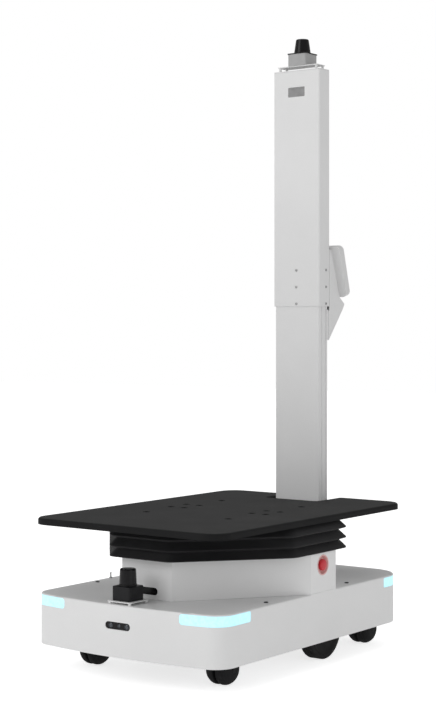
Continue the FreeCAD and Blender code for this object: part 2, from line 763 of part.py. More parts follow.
ram_motor = rounded_box(-ram_motor_side / 2, ram_motor_side / 2, ram_y + ram_radius - 4,
                        ram_y + ram_radius + ram_motor_side, sleeve_z0 + 6, sleeve_z0 + ram_motor_height, 8)
ram_motor = ram_motor.cut(cyl(piston_radius + gap + 4, 300, 0, ram_y, 60))
save("lift_ram", ram.fuse(ram_motor).removeSplitter())
piston_z0 = sleeve_z0 + lift_travel + 8.0
piston = cyl(piston_radius, frame_bottom_z - piston_head_thick - piston_z0, 0, ram_y, piston_z0)
piston_head = cyl(piston_head_radius, piston_head_thick, 0, ram_y, frame_bottom_z - piston_head_thick)
save("lift_piston", piston.fuse(piston_head).removeSplitter())

half_bar = lift_bar / 2.0
bar_x = lift_post_x + lift_frame_over
bar_y0 = lift_post_front_y - lift_frame_over
bar_y1 = lift_post_rear_y + lift_frame_over
frame_bars = []
for py in (lift_post_front_y, lift_post_rear_y):
    frame_bars.append(box(-bar_x, bar_x, py - half_bar, py + half_bar, frame_bottom_z + gap,
                          table_bottom_z - gap))
for px in (-lift_post_x, lift_post_x):
    frame_bars.append(box(px - half_bar, px + half_bar, bar_y0, bar_y1, frame_bottom_z + gap,
                          table_bottom_z - gap))
frame_bars.append(box(-lift_bar, lift_bar, lift_post_front_y, lift_post_rear_y, frame_bottom_z + gap,
                      table_bottom_z - gap))
lift_frame = frame_bars[0].fuse(frame_bars[1:]).removeSplitter()
save("lift_frame", lift_frame)

# table plate with rounded corners, a notch for the mast and bolt patterns
ty0 = table_centre_y - table_length / 2.0
ty1 = table_centre_y + table_length / 2.0
tw = table_width / 2.0
table = box(-tw, tw, ty0, ty1, table_bottom_z, table_top_z)
table = table.makeFillet(table_corner_radius, edges_along(table, "z"))
notch = box(-notch_half_width, notch_half_width, notch_front_y, ty1 + 5, table_bottom_z - 1, table_top_z + 1)
notch = notch.makeFillet(10.0, edges_along(notch, "z", lambda p: p.y < notch_front_y + 1))
table = table.cut(notch)
lips = edges_along(table, "z", lambda p: abs(p.y - ty1) < 1 and abs(p.x) < notch_half_width + 1)
table = table.makeFillet(12.0, lips)
top_edges = [e for e in table.Edges if abs(e.BoundBox.ZMin - table_top_z) < 1e-6]
table = table.makeFillet(table_bevel, top_edges)
hole_places = []
for dx in (-rim_bolt_x / 2, rim_bolt_x / 2):
    for dy in (-rim_bolt_y / 2, rim_bolt_y / 2):
        hole_places.append((dx, table_centre_y + dy))
for side in (-1, 1):
    for dx in (-pad_bolt_x / 2, pad_bolt_x / 2):
        for dy in (-pad_bolt_y / 2, pad_bolt_y / 2):
            hole_places.append((side * pad_offset_x + dx, table_centre_y + dy))
drills = [cyl(table_hole_radius, 40, hx, hy, table_bottom_z - 10) for hx, hy in hole_places]
table = table.cut(drills)
save("table_plate", table)

# ---------------------------------------------------------------- bellows
# an eight-sided gaiter: each pleat slopes out and down, then turns back almost level
bellows_z0 = tower_top_z + gap
bellows_z1 = table_bottom_z - gap
bellows_plan = octagon(bellows_front_y, bellows_front_half, bellows_side_x, bellows_side_front_y,
                       bellows_side_rear_y, bellows_rear_y)
peak_plan = rounded_plan(bellows_plan, bellows_corner_round, 3)
valley_plan = rounded_plan(inset_plan(bellows_plan, bellows_depth), bellows_corner_round, 3)
slope_rise = (bellows_z1 - bellows_z0 - (bellows_pleats - 1) * bellows_undercut) / bellows_pleats
lip = 2.2
levels = []
inner_levels = []
peak_in = rounded_plan(inset_plan(bellows_plan, bellows_skin * 1.6), bellows_corner_round, 3)
valley_in = rounded_plan(inset_plan(bellows_plan, bellows_depth + bellows_skin), bellows_corner_round, 3)
for k in range(bellows_pleats):
    base = bellows_z0 + k * (slope_rise + bellows_undercut)
    if k == 0:
        levels.append((peak_plan, base))
        levels.append((peak_plan, base + lip))
        inner_levels.append((peak_in, base + bellows_skin))
        inner_levels.append((peak_in, base + lip))
    else:
        levels.append((valley_plan, base - bellows_undercut))
        levels.append((peak_plan, base - lip / 2))
        levels.append((peak_plan, base + lip / 2))
        inner_levels.append((valley_in, base - bellows_undercut))
        inner_levels.append((peak_in, base - lip * 0.1))
        inner_levels.append((peak_in, base + lip * 0.1))
levels.append((valley_plan, bellows_z1))
inner_levels.append((valley_in, bellows_z1 - bellows_skin))
gaiter = ring_loft(levels).cut(ring_loft(inner_levels))
gaiter = gaiter.cut(prism(inset_plan(bellows_plan, bellows_mouth_inset), bellows_z0 - 1, bellows_z1 + 1))
save("bellows", gaiter)

# ---------------------------------------------------------------- mast
def mast_block(inset, z0, z1):
    # the sleeve's plan: rounder in front, nearly sharp at the rear where the display bracket joins
    block = box(-mast_half_width + inset, mast_half_width - inset, mast_front_y + inset,
                mast_front_y + mast_depth - inset, z0, z1)
    front_round = max(mast_corner_round - inset, 1.0)
    rear_round = max(mast_rear_round - inset, 1.0)
    block = block.makeFillet(front_round, edges_along(block, "z", lambda p: p.y < mast_mid_y))
    return block.makeFillet(rear_round, edges_along(block, "z", lambda p: p.y > mast_mid_y + mast_depth / 4.0))


cx = mast_half_width - column_step
cy0 = mast_front_y + column_step
cy1 = mast_front_y + mast_depth - column_step
foot_z = chassis_top_z + gap
column_top_z = sleeve_bottom_z + column_overlap
column = rounded_box(-cx, cx, cy0, cy1, foot_z + foot_thick + gap, column_top_z, mast_corner_round)
column = column.cut(rounded_box(-cx + column_wall, cx - column_wall, cy0 + column_wall, cy1 - column_wall,
                                foot_z, column_top_z + 1, 2.0))
for side in (-1, 1):
    for groove_y in (mast_mid_y - 9.0, mast_mid_y + 9.0):
        x0 = side * (cx - 1.2)
        x1 = side * (cx + 1)
        column = column.cut(box(min(x0, x1), max(x0, x1), groove_y - 1.5, groove_y + 1.5, body_top_z + 6,
                                column_top_z + 1))
save("mast_column", column)
foot = rounded_box(-cx - foot_flange, cx + foot_flange, cy0 - foot_flange, cy1 + foot_flange, foot_z,
                   foot_z + foot_thick, 8)
bolt_out = foot_flange * 0.55
for dx in (-cx - bolt_out, cx + bolt_out):
    for dy in (cy0 - bolt_out, cy1 + bolt_out):
        foot = foot.cut(cyl(foot_bolt_radius, 20, dx, dy, foot_z - 5))
socket = rounded_box(-cx + column_wall + gap, cx - column_wall - gap, cy0 + column_wall + gap,
                     cy1 - column_wall - gap, foot_z + foot_thick - 1,
                     foot_z + foot_thick + foot_socket_height, 2.0)
socket_in = column_wall + gap + foot_socket_wall
socket = socket.cut(rounded_box(-cx + socket_in, cx - socket_in, cy0 + socket_in, cy1 - socket_in,
                                foot_z - 2, foot_z + foot_thick + foot_socket_height + 2, 1.5))
foot = foot.fuse(socket).removeSplitter()
save("mast_foot", foot)

sleeve = mast_block(0, sleeve_bottom_z, mast_top_z)
sleeve = sleeve.cut(mast_block(sleeve_wall, sleeve_bottom_z - 1, mast_top_z + 1))
sleeve = sleeve.cut(rounded_box(-mast_window_half, mast_window_half, mast_front_y - 1,
                                mast_front_y + sleeve_wall + 1, mast_window_bottom_z, mast_window_top_z,
                                2.0, "y"))
screw_heights = [sleeve_bottom_z + 7.0 + k * screw_pitch for k in range(3)]
screw_side_y = mast_front_y + mast_depth * 0.65
for z in screw_heights:
    sleeve = sleeve.cut(cyl(2.3, 6, 0, mast_front_y - 1, z, "y"))
    sleeve = sleeve.cut(cyl(2.3, 6, mast_half_width - 4, screw_side_y, z, "x"))
    sleeve = sleeve.cut(cyl(2.3, 6, -mast_half_width - 2, screw_side_y, z, "x"))
save("mast_sleeve", sleeve)
cap = mast_block(0, mast_top_z + gap, mast_top_z + gap + 3)
rim = [e for e in cap.Edges if abs(e.BoundBox.ZMin - mast_top_z - gap - 3) < 1e-6]
cap = cap.makeFillet(1.2, rim)
plug = rounded_box(-mast_half_width + sleeve_wall + gap, mast_half_width - sleeve_wall - gap,
                   mast_front_y + sleeve_wall + gap, mast_front_y + mast_depth - sleeve_wall - gap,
                   mast_top_z - 10, mast_top_z + gap + 1, 2.0)
save("mast_cap", cap.fuse(plug).removeSplitter())
save("mast_camera_window", rounded_box(-mast_window_half + gap, mast_window_half - gap, mast_front_y + 1.0,
                                       mast_front_y + 3.6, mast_window_bottom_z + gap,
                                       mast_window_top_z - gap, 1.7, "y"))


def button_screw(x, y, z, axis, head=4.2, shank=2.0, depth=3.2):
    # domed head with a six-sided socket, standing on a face that looks along the axis
    dome = [(0, 0), (shank, 0), (shank, depth), (head, depth), (head, depth + 0.7),
            (head * 0.75, depth + 1.6), (0, depth + 1.9)]
    screw = turned(dome, 0, 0, 0)
    hexagon = [(head * 0.42 * math.cos(math.radians(60 * k)), head * 0.42 * math.sin(math.radians(60 * k)))
               for k in range(6)]
    screw = screw.cut(prism(hexagon, depth + 0.6, depth + 4))
    if axis == "-y":
        screw.rotate(Vector(0, 0, 0), Vector(1, 0, 0), 90)
    if axis == "x":
        screw.rotate(Vector(0, 0, 0), Vector(0, 1, 0), 90)
    if axis == "-x":
        screw.rotate(Vector(0, 0, 0), Vector(0, 1, 0), -90)
    screw.translate(Vector(x, y, z))
    return screw


mast_screws = []
shank_depth = sleeve_wall + 0.2
for z in screw_heights:
    mast_screws.append(button_screw(0, mast_front_y + sleeve_wall, z, "-y", mast_screw_head, 2.0, shank_depth))
    mast_screws.append(button_screw(mast_half_width - sleeve_wall, screw_side_y, z, "x", mast_screw_head, 2.0,
                                    shank_depth))
    mast_screws.append(button_screw(-mast_half_width + sleeve_wall, screw_side_y, z, "-x", mast_screw_head, 2.0,
                                    shank_depth))
save("mast_screws", *mast_screws)

deck_screws = []
for sx in (-1, 1):
    for screw_y in (deck_screw_front_y, deck_screw_rear_y):
        deck_screws.append(button_screw(sx * (half_w - deck_screw_side_gap), screw_y, body_top_z + 0.1,
                                        "z", deck_screw_radius, deck_screw_radius - 0.5, 0.3))
save("deck_screws", *deck_screws)
stub = turned([(0, 0), (4.0, 0), (4.0, 2.0), (2.0, 3.0), (1.8, 11.0), (2.4, 11.5), (2.4, 14.0), (0, 14.5)],
              -half_w + aerial_side_gap, aerial_y, body_top_z + gap)
save("aerial_stub", stub)

# ---------------------------------------------------------------- display and wedge
along = Vector(0, display_lean / display_length, -display_drop / display_length)
out = Vector(0, display_drop / display_length, display_lean / display_length)


def on_display(block):
    # a block modelled upright (rear face on y = 0, hanging down from z = 0), tilted into place
    block.rotate(Vector(0, 0, 0), Vector(1, 0, 0), display_tilt)
    block.translate(Vector(0, display_top_y, display_top_z))
    return block


housing = rounded_box(-display_half_width, display_half_width, -display_thick, 0, -display_length, 0,
                      display_corner, "y")
rims = [e for e in housing.Edges if abs(e.BoundBox.YMin) < 1e-6 and abs(e.BoundBox.YMax) < 1e-6]
housing = housing.makeFillet(display_rim_round, rims)
rims = [e for e in housing.Edges if abs(e.BoundBox.YMin + display_thick) < 1e-6
        and abs(e.BoundBox.YMax + display_thick) < 1e-6]
housing = housing.makeFillet(2.0, rims)
screen_x = display_half_width - display_border
screen_z0 = -display_length + display_border + 2
screen_z1 = -display_border - 2
housing = housing.cut(rounded_box(-screen_x, screen_x, -2.4, 1, screen_z0, screen_z1, 4, "y"))
housing = housing.cut(box(-screen_x + 4, screen_x - 4, -display_thick + 3, -2, screen_z0 + 4, screen_z1 - 4))
save("display_housing", on_display(housing))
screen = rounded_box(-screen_x + gap, screen_x - gap, -2.1, -0.4, screen_z0 + gap, screen_z1 - gap, 3.6, "y")
save("display_screen", on_display(screen))
panel = box(-screen_x + 8, screen_x - 8, -display_thick + 5, -2.1 - gap, screen_z0 + 8, screen_z1 - 8)
save("display_panel", on_display(panel))

# the wedge: a hollow folded bracket, flush with the mast's sides and wider towards its tip
back_y = mast_front_y + mast_depth + gap
column_back_y = cy1 + gap
slit_z = sleeve_bottom_z - wedge_slit
front_top = Vector(0, display_top_y, display_top_z).sub(out * (display_thick + gap))
front_bottom = front_top.add(along * display_length)
start = front_top.add(along * 8.0)
wedge_points = [(back_y, start.z + 1.0), (start.y, start.z), (front_bottom.y, front_bottom.z),
                (wedge_tip_y, wedge_tip_z), (wedge_tip_y - 9, wedge_tip_z - 16),
                (column_back_y, wedge_bottom_z), (column_back_y, slit_z), (back_y, slit_z)]
tip_half = mast_half_width + wedge_flare
flare_plan = [(-mast_half_width, column_back_y), (mast_half_width, column_back_y),
              (tip_half, wedge_tip_y), (-tip_half, wedge_tip_y)]
hollow_plan = inset_plan(flare_plan, wedge_wall)
hollow_plan = [(x, y - wedge_wall - 1 if y < mast_mid_y + mast_depth else y) for x, y in hollow_plan]
wedge = prism_x(wedge_points, -tip_half, tip_half)
wedge = wedge.makeFillet(4.0, edges_along(wedge, "x", lambda p: p.y > wedge_tip_y - 12 and p.z < wedge_tip_z + 3))
rim_points = [(back_y - 1, start.z - 6.0), (start.y - 2.0, start.z - 12), (front_bottom.y - 6, front_bottom.z + 2),
              (wedge_tip_y - 16, wedge_tip_z - 4), (back_y - 1, wedge_bottom_z + 12)]
wedge = wedge.common(prism(flare_plan, wedge_bottom_z - 5, display_top_z))
inside = prism_x(rim_points, -tip_half, tip_half).common(prism(hollow_plan, wedge_bottom_z - 5, display_top_z))
wedge = wedge.cut(inside)
save("display_wedge", wedge)

# ---------------------------------------------------------------- lidars
def lidar(x, y, deck_z, label, square, low_radius, top_radius, width, depth, plate_y, standoff):
    half = width / 2.0
    top_z = deck_z + standoff + bracket_thick
    bracket = rounded_box(x - half, x + half, plate_y - depth / 2.0, plate_y + depth / 2.0,
                          top_z - bracket_thick, top_z, 5)
    for dx in (-half + standoff_inset, half - standoff_inset):
        for dy in (-depth / 2.0 + standoff_inset, depth / 2.0 - standoff_inset):
            bracket = bracket.fuse(cyl(standoff_radius, standoff + 0.5, x + dx, plate_y + dy,
                                       deck_z))
    base_z = top_z + gap
    side = square / 2.0
    base = rounded_box(x - side, x + side, y - side, y + side, base_z, base_z + lidar_base_height, 5)
    rim_edges = [e for e in base.Edges if abs(e.BoundBox.ZMin - base_z - lidar_base_height) < 1e-6]
    base = base.makeFillet(2.0, rim_edges)
    base = base.cut(cyl(13, 10, x, y, base_z + lidar_base_height - 4))
    cone_z = base_z + lidar_base_height + gap
    cone_h = lidar_total_height - lidar_base_height - gap
    wall_r = lidar_window_wall
    window = turned([(low_radius - wall_r, 0), (low_radius + 1.2, 0), (low_radius + 1.2, 3),
                     (low_radius, 4), (top_radius + 0.6, cone_h - 4),
                     (top_radius + 0.2, cone_h - 1.5), (top_radius - 1.4, cone_h), (0, cone_h),
                     (0, cone_h - 3), (top_radius - wall_r, cone_h - 4.5)], x, y, cone_z)
    rotor = turned([(0, -4.0), (11, -4.0), (11, 3), (14, 4), (14, 9), (9, 10), (9, cone_h - 9), (0, cone_h - 9)],
                   x, y, cone_z)
    mirror_cut = box(x - 20, x + 20, y - 20, y - 4, cone_z + 11, cone_z + cone_h)
    rotor = rotor.cut(mirror_cut)
    save(label + "_lidar_bracket", bracket.removeSplitter())
    save(label + "_lidar_base", base)
    save(label + "_lidar_window", window)
    save(label + "_lidar_rotor", rotor)


lidar(0, front_lidar_y, body_top_z + gap, "front", front_lidar_side, front_lidar_low_radius,
      front_lidar_top_radius, bracket_side, bracket_side, front_lidar_y, front_standoff)
lidar(0, mast_mid_y + mast_lidar_back, mast_top_z + 2 * gap + 3, "mast", mast_lidar_side,
      mast_lidar_low_radius, mast_lidar_top_radius, mast_bracket_width, mast_bracket_depth, mast_mid_y,
      mast_standoff)

# ---------------------------------------------------------------- emergency stop
face_x = half_w
cup_floor = stop_cup_depth - 2.5
cup = turned([(stop_stem_radius + 1, -stop_cup_depth), (stop_cup_radius, -stop_cup_depth),
              (stop_cup_radius, 0.5), (stop_cup_radius - 2.6, 0.5), (stop_cup_radius - 5.4, -cup_floor),
              (stop_stem_radius + 1, -cup_floor)], face_x, stop_y, stop_z, "x")
save("stop_cup", cup)
block_x1 = face_x - stop_cup_depth - gap
block = rounded_box(block_x1 - 32, block_x1, stop_y - stop_block_half, stop_y + stop_block_half,
                    stop_z - stop_block_half, stop_z + stop_block_half, 3, "x")
block = block.cut(cyl(stop_stem_radius + gap, 30, face_x - 30, stop_y, stop_z, "x"))
save("stop_contact_block", block)
stem = cyl(stop_stem_radius, 22.0, face_x - 25, stop_y, stop_z, "x")
save("stop_stem", stem)
head_x = face_x - cup_floor + stop_travel + 0.8
head_depth = bellows_side_x - head_x
head = turned([(0, 3.0), (stop_stem_radius + 0.5, 3.0), (stop_stem_radius + 0.5, 0), (stop_head_radius - 1, 0),
               (stop_head_radius, 1), (stop_head_radius, head_depth - 4), (stop_head_radius - 1.5, head_depth - 2),
               (stop_head_radius - 5, head_depth - 0.6), (0, head_depth)], head_x, stop_y, stop_z, "x")
save("stop_head", head)

print("row shift", row_shift_y, "table top", table_top_z, "display tilt", display_tilt)
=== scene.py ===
import bpy
import bmesh
import json
import math
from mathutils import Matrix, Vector


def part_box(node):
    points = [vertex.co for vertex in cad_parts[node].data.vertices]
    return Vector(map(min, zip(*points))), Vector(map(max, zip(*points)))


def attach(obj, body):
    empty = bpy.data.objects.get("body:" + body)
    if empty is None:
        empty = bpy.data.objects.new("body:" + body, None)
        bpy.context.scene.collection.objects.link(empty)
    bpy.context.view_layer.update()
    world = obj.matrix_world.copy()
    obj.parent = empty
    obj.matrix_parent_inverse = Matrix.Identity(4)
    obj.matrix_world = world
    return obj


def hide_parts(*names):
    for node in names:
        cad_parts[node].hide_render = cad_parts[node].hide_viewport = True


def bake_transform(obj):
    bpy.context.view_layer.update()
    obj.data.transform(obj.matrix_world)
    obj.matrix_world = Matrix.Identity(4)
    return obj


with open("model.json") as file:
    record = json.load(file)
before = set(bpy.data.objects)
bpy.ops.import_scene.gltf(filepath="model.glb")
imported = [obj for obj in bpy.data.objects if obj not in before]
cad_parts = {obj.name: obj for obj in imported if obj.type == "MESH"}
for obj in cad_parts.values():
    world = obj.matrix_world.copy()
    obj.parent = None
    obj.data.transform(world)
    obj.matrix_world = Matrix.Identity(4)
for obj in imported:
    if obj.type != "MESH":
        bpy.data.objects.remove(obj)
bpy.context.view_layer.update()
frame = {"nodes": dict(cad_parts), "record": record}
nodes = frame["nodes"]
print("frame loaded:", len(nodes), "nodes")

# camera: level, a little above table height, off the robot's right front corner
cameraSetup = {"place": (2.43675, -3.36626, 0.84234), "turn": 36.21, "lens": 81.14, "rise": -0.05186}
cameraData = bpy.data.cameras.new("roomCamera")
cameraData.lens = cameraSetup["lens"]
cameraData.sensor_width = 36.0
cameraData.shift_y = cameraSetup["rise"]
cameraData.clip_end = 60.0
roomCamera = bpy.data.objects.new("roomCamera", cameraData)
roomCamera.location = cameraSetup["place"]
roomCamera.rotation_euler = (math.radians(90.0), 0.0, math.radians(cameraSetup["turn"]))
bpy.context.scene.collection.objects.link(roomCamera)
bpy.context.scene.camera = roomCamera
bpy.context.scene.view_settings.view_transform = "Standard"
print("camera set")


# small helpers
def hexToLinear(code):
    # sRGB hex to the linear values that the shaders want
    values = [int(code[i:i + 2], 16) / 255.0 for i in (1, 3, 5)]
    return tuple(v / 12.92 if v <= 0.04045 else ((v + 0.055) / 1.055) ** 2.4 for v in values) + (1.0,)


def addNode(tree, kind, values=None, links=None):
    # one node with its settings and what feeds it
    node = tree.nodes.new(kind)
    for name, value in (values or {}).items():
        if isinstance(name, str) and hasattr(node, name):
            setattr(node, name, value)
        else:
            node.inputs[name].default_value = value
    for name, source in (links or {}).items():
        tree.links.new(source, node.inputs[name])
    return node


def startFinish(name, shaderValues):
    # an empty material with its shader, output and object coordinates
    material = bpy.data.materials.new(name)
    material.use_nodes = True
    tree = material.node_tree
    tree.nodes.clear()
    shader = addNode(tree, "ShaderNodeBsdfPrincipled", shaderValues)
    addNode(tree, "ShaderNodeOutputMaterial", links={"Surface": shader.outputs[0]})
    place = addNode(tree, "ShaderNodeTexCoord").outputs["Object"]
    return material, tree, shader, place


def perMetre(millimetres):
    # texture scale that gives features of this size
    return 1000.0 / millimetres


def grainedFinish(name, look):
    # broad tone drift in colour and roughness, fine grain in colour specks and bump, and a touch of wear on
    # sharp edges
    material, tree, shader, place = startFinish(name, {
        "Metallic": look.get("metal", 0.0), "IOR": look.get("ior", 1.5),
        "Specular IOR Level": look.get("shine", 0.5),
        "Coat Weight": look.get("coat", 0.0), "Coat Roughness": look.get("coatRough", 0.2)})
    drift = addNode(tree, "ShaderNodeTexNoise", {"Scale": perMetre(look["driftMm"]), "Detail": 3.0},
                    {"Vector": place})
    grain = addNode(tree, "ShaderNodeTexNoise", {"Scale": perMetre(look["grainMm"]), "Detail": 2.0,
                                                 "Roughness": 0.6}, {"Vector": place})
    tone = addNode(tree, "ShaderNodeMix", {"data_type": "RGBA", 6: hexToLinear(look["light"]),
                                           7: hexToLinear(look["dark"])}, {0: drift.outputs["Fac"]})
    speck = addNode(tree, "ShaderNodeMapRange", {"From Min": 0.35, "From Max": 0.65,
                                                 "To Min": 1.0 - look["speck"], "To Max": 1.0},
                    {"Value": grain.outputs["Fac"]})
    colour = addNode(tree, "ShaderNodeMix", {"data_type": "RGBA", "blend_type": "MULTIPLY", 0: 1.0},
                     {6: tone.outputs[2], 7: speck.outputs[0]})
    skin = colour.outputs[2]
    if "worn" in look:
        bevel = addNode(tree, "ShaderNodeBevel", {"samples": 4, "Radius": look["wornMm"] / 1000.0})
        geometry = addNode(tree, "ShaderNodeNewGeometry")
        flat = addNode(tree, "ShaderNodeVectorMath", {"operation": "DOT_PRODUCT"},
                       {0: bevel.outputs[0], 1: geometry.outputs["Normal"]})
        edge = addNode(tree, "ShaderNodeMapRange", {"From Min": 0.96, "From Max": 0.75, "To Min": 0.0,
                                                    "To Max": look["wornAmount"]},
                       {"Value": flat.outputs["Value"]})
        broken = addNode(tree, "ShaderNodeMath", {"operation": "MULTIPLY"},
                         {0: edge.outputs[0], 1: drift.outputs["Fac"]})
        rubbed = addNode(tree, "ShaderNodeMix", {"data_type": "RGBA", 7: hexToLinear(look["worn"])},
                         {0: broken.outputs[0], 6: skin})
        skin = rubbed.outputs[2]
    if "dustAndTopLight" in look:
        # painted top light: upward faces are painted lighter, in random patches, as light from above would
        # make them
        facing = addNode(tree, "ShaderNodeNewGeometry")
        up = addNode(tree, "ShaderNodeSeparateXYZ", links={0: facing.outputs["Normal"]})
        upwardTopLight = addNode(tree, "ShaderNodeMapRange", {"From Min": 0.7, "From Max": 0.98,
                                                    "To Max": look["dustAndTopLightAmount"]},
                       {"Value": up.outputs["Z"]})
        patchy = addNode(tree, "ShaderNodeMapRange", {"From Min": 0.3, "From Max": 0.7, "To Min": 0.8},
                         {"Value": drift.outputs["Fac"]})
        thin = addNode(tree, "ShaderNodeMath", {"operation": "MULTIPLY"},
                       {0: upwardTopLight.outputs[0], 1: patchy.outputs[0]})
        dustyAndTopLit = addNode(tree, "ShaderNodeMix", {"data_type": "RGBA", 7: hexToLinear(look["dustAndTopLight"])},
                        {0: thin.outputs[0], 6: skin})
        skin = dustyAndTopLit.outputs[2]
    rough = addNode(tree, "ShaderNodeMapRange", {"To Min": look["rough"][0], "To Max": look["rough"][1]},
                    {"Value": drift.outputs["Fac"]})
    relief = addNode(tree, "ShaderNodeBump", {"Strength": 0.5, "Distance": look["depthMm"] / 1000.0},
                     {"Height": grain.outputs["Fac"]})
    tree.links.new(skin, shader.inputs["Base Color"])
    tree.links.new(rough.outputs[0], shader.inputs["Roughness"])
    tree.links.new(relief.outputs[0], shader.inputs["Normal"])
    return material


def brushedFinish(name, look):
    # metal with fine lines along one direction, from grinding, drawing or turning
    material, tree, shader, place = startFinish(name, {"Metallic": 1.0})
    stretch = addNode(tree, "ShaderNodeMapping", {"Scale": look["lines"]}, {"Vector": place})
    lines = addNode(tree, "ShaderNodeTexNoise", {"Scale": perMetre(look["lineMm"]), "Detail": 3.0},
                    {"Vector": stretch.outputs[0]})
    drift = addNode(tree, "ShaderNodeTexNoise", {"Scale": perMetre(look["driftMm"]), "Detail": 2.0},
                    {"Vector": place})
    tone = addNode(tree, "ShaderNodeMix", {"data_type": "RGBA", 6: hexToLinear(look["light"]),
                                           7: hexToLinear(look["dark"])}, {0: lines.outputs["Fac"]})
    rough = addNode(tree, "ShaderNodeMapRange", {"To Min": look["rough"][0], "To Max": look["rough"][1]},
                    {"Value": drift.outputs["Fac"]})
    relief = addNode(tree, "ShaderNodeBump", {"Strength": 0.4, "Distance": look["depthMm"] / 1000.0},
                     {"Height": lines.outputs["Fac"]})
    tree.links.new(tone.outputs[2], shader.inputs["Base Color"])
    tree.links.new(rough.outputs[0], shader.inputs["Roughness"])
    tree.links.new(relief.outputs[0], shader.inputs["Normal"])
    return material


def coat(material, *names):
    # gives CAD pieces their finish
    for name in names:
        for holder in nodes[name].material_slots:
            holder.material = material


def deselectAll():
    if bpy.context.object and bpy.context.object.mode != "OBJECT":
        bpy.ops.object.mode_set(mode="OBJECT")
    bpy.ops.object.select_all(action="DESELECT")


def applyAll(piece):
    # applies every modifier in order
    deselectAll()
    piece.select_set(True)
    bpy.context.view_layer.objects.active = piece
    for modifier in list(piece.modifiers):
        bpy.ops.object.modifier_apply(modifier=modifier.name)


def pick(piece, test, kind="face"):
    # in edit mode: selects faces by a test on middle and normal, or edges by a test on middle and edge
    mesh = bmesh.from_edit_mesh(piece.data)
    for group in (mesh.verts, mesh.edges, mesh.faces):
        for item in group:
            item.select = False
    if kind == "face":
        chosen = [f for f in mesh.faces if test(f.calc_center_median(), f.normal)]
    else:
        chosen = [e for e in mesh.edges if test((e.verts[0].co + e.verts[1].co) / 2.0, e)]
    for item in chosen:
        item.select = True
    mesh.select_flush_mode()
    bmesh.update_edit_mesh(piece.data)


# white covers: satin polyurethane paint on moulded plastic, an even skin with faint orange peel
whiteCover = grainedFinish("satinPaintOnMoulding", {
    "light": "#F1F1F1", "dark": "#E9E9E9", "driftMm": 160.0, "grainMm": 2.2, "depthMm": 0.03, "speck": 0.015,
    "rough": (0.36, 0.48), "coat": 0.12, "coatRough": 0.3, "ior": 1.5, "worn": "#C9CACC", "wornMm": 1.2,
    "wornAmount": 0.25})
coat(whiteCover, "body_cover", "tower_cover")

# mast: powder coat on extruded aluminium, slightly coarser than the paint
mastCoat = grainedFinish("whitePowderCoatOnExtrusion", {
    "light": "#F1F1F1", "dark": "#E8E8E8", "driftMm": 210.0, "grainMm": 1.4, "depthMm": 0.04, "speck": 0.02,
    "rough": (0.42, 0.54), "ior": 1.5, "worn": "#BFC1C4", "wornMm": 1.0, "wornAmount": 0.3})
coat(mastCoat, "mast_column", "mast_sleeve", "mast_cap", "display_wedge", "front_lidar_bracket",
     "mast_lidar_bracket")

# display shell: moulded ABS with a fine spark-eroded grain
shellAbs = grainedFinish("mouldedWhiteAbs", {
    "light": "#E8E8E8", "dark": "#DFDFDF", "driftMm": 90.0, "grainMm": 0.8, "depthMm": 0.05, "speck": 0.03,
    "rough": (0.45, 0.55), "ior": 1.53})
coat(shellAbs, "display_housing")

# table: black fine-texture powder coat on aluminium plate, rubbed a little lighter on its edges, with its top
# painted lighter than its sides as painted light from above
tableCoat = grainedFinish("fineTexturePowderCoat", {
    "light": "#171718", "dark": "#121213", "driftMm": 130.0, "grainMm": 1.1, "depthMm": 0.12, "speck": 0.18,
    "rough": (0.6, 0.74), "ior": 1.5, "shine": 0.2, "worn": "#4A4A4B", "wornMm": 1.0, "wornAmount": 0.25,
    "dustAndTopLight": "#292929", "dustAndTopLightAmount": 0.9})
coat(tableCoat, "table_plate")

# frame steel and castings: black powder coat, a soft broken sheen with grey rubbed edges
blackCoat = grainedFinish("blackPowderCoatOnSteel", {
    "light": "#28292B", "dark": "#1E1F21", "driftMm": 60.0, "grainMm": 1.0, "depthMm": 0.1, "speck": 0.15,
    "rough": (0.45, 0.6), "ior": 1.5, "worn": "#5A5C60", "wornMm": 0.8, "wornAmount": 0.5})
coat(blackCoat, "belly_pans", "lift_frame", "lift_ram", "drive_motors", "drive_hub_left", "drive_hub_right",
     "caster_fork_front_left", "caster_fork_front_right", "caster_fork_rear_left", "caster_fork_rear_right")

# wheels: cast polyurethane tread, dull with a fine mould texture and floor dust
polyurethane = grainedFinish("blackPolyurethane", {
    "light": "#1B1B1C", "dark": "#131314", "driftMm": 25.0, "grainMm": 1.2, "depthMm": 0.15, "speck": 0.2,
    "rough": (0.62, 0.8), "ior": 1.5, "shine": 0.3, "worn": "#2E2E30", "wornMm": 2.0, "wornAmount": 0.4})

# plates and rails: mill-finish aluminium, long dull drawing lines
millAluminium = brushedFinish("millFinishAluminium", {
    "light": "#B4B6B8", "dark": "#94979A", "lines": (1.0, 0.04, 1.0), "lineMm": 1.6, "driftMm": 40.0,
    "depthMm": 0.03, "rough": (0.35, 0.5)})
coat(millAluminium, "chassis_plate", "chassis_rails", "drive_brackets", "mast_foot")
# lift rods: centreless-ground steel, bright with fine rings round them
groundSteel = brushedFinish("groundSteel", {
    "light": "#B9BBBD", "dark": "#9A9DA0", "lines": (1.0, 1.0, 0.05), "lineMm": 0.9, "driftMm": 30.0,
    "depthMm": 0.02, "rough": (0.18, 0.3)})
coat(groundSteel, "lift_rods", "lift_piston", "lift_guide_sleeves")
# small hardware: zinc-plated steel, light grey and a little cloudy
zincSteel = brushedFinish("zincPlatedSteel", {
    "light": "#C6C6C6", "dark": "#A4A4A4", "lines": (1.0, 1.0, 1.0), "lineMm": 3.0, "driftMm": 8.0,
    "depthMm": 0.02, "rough": (0.3, 0.45)})
coat(zincSteel, "caster_plates", "aerial_stub", "mast_screws")
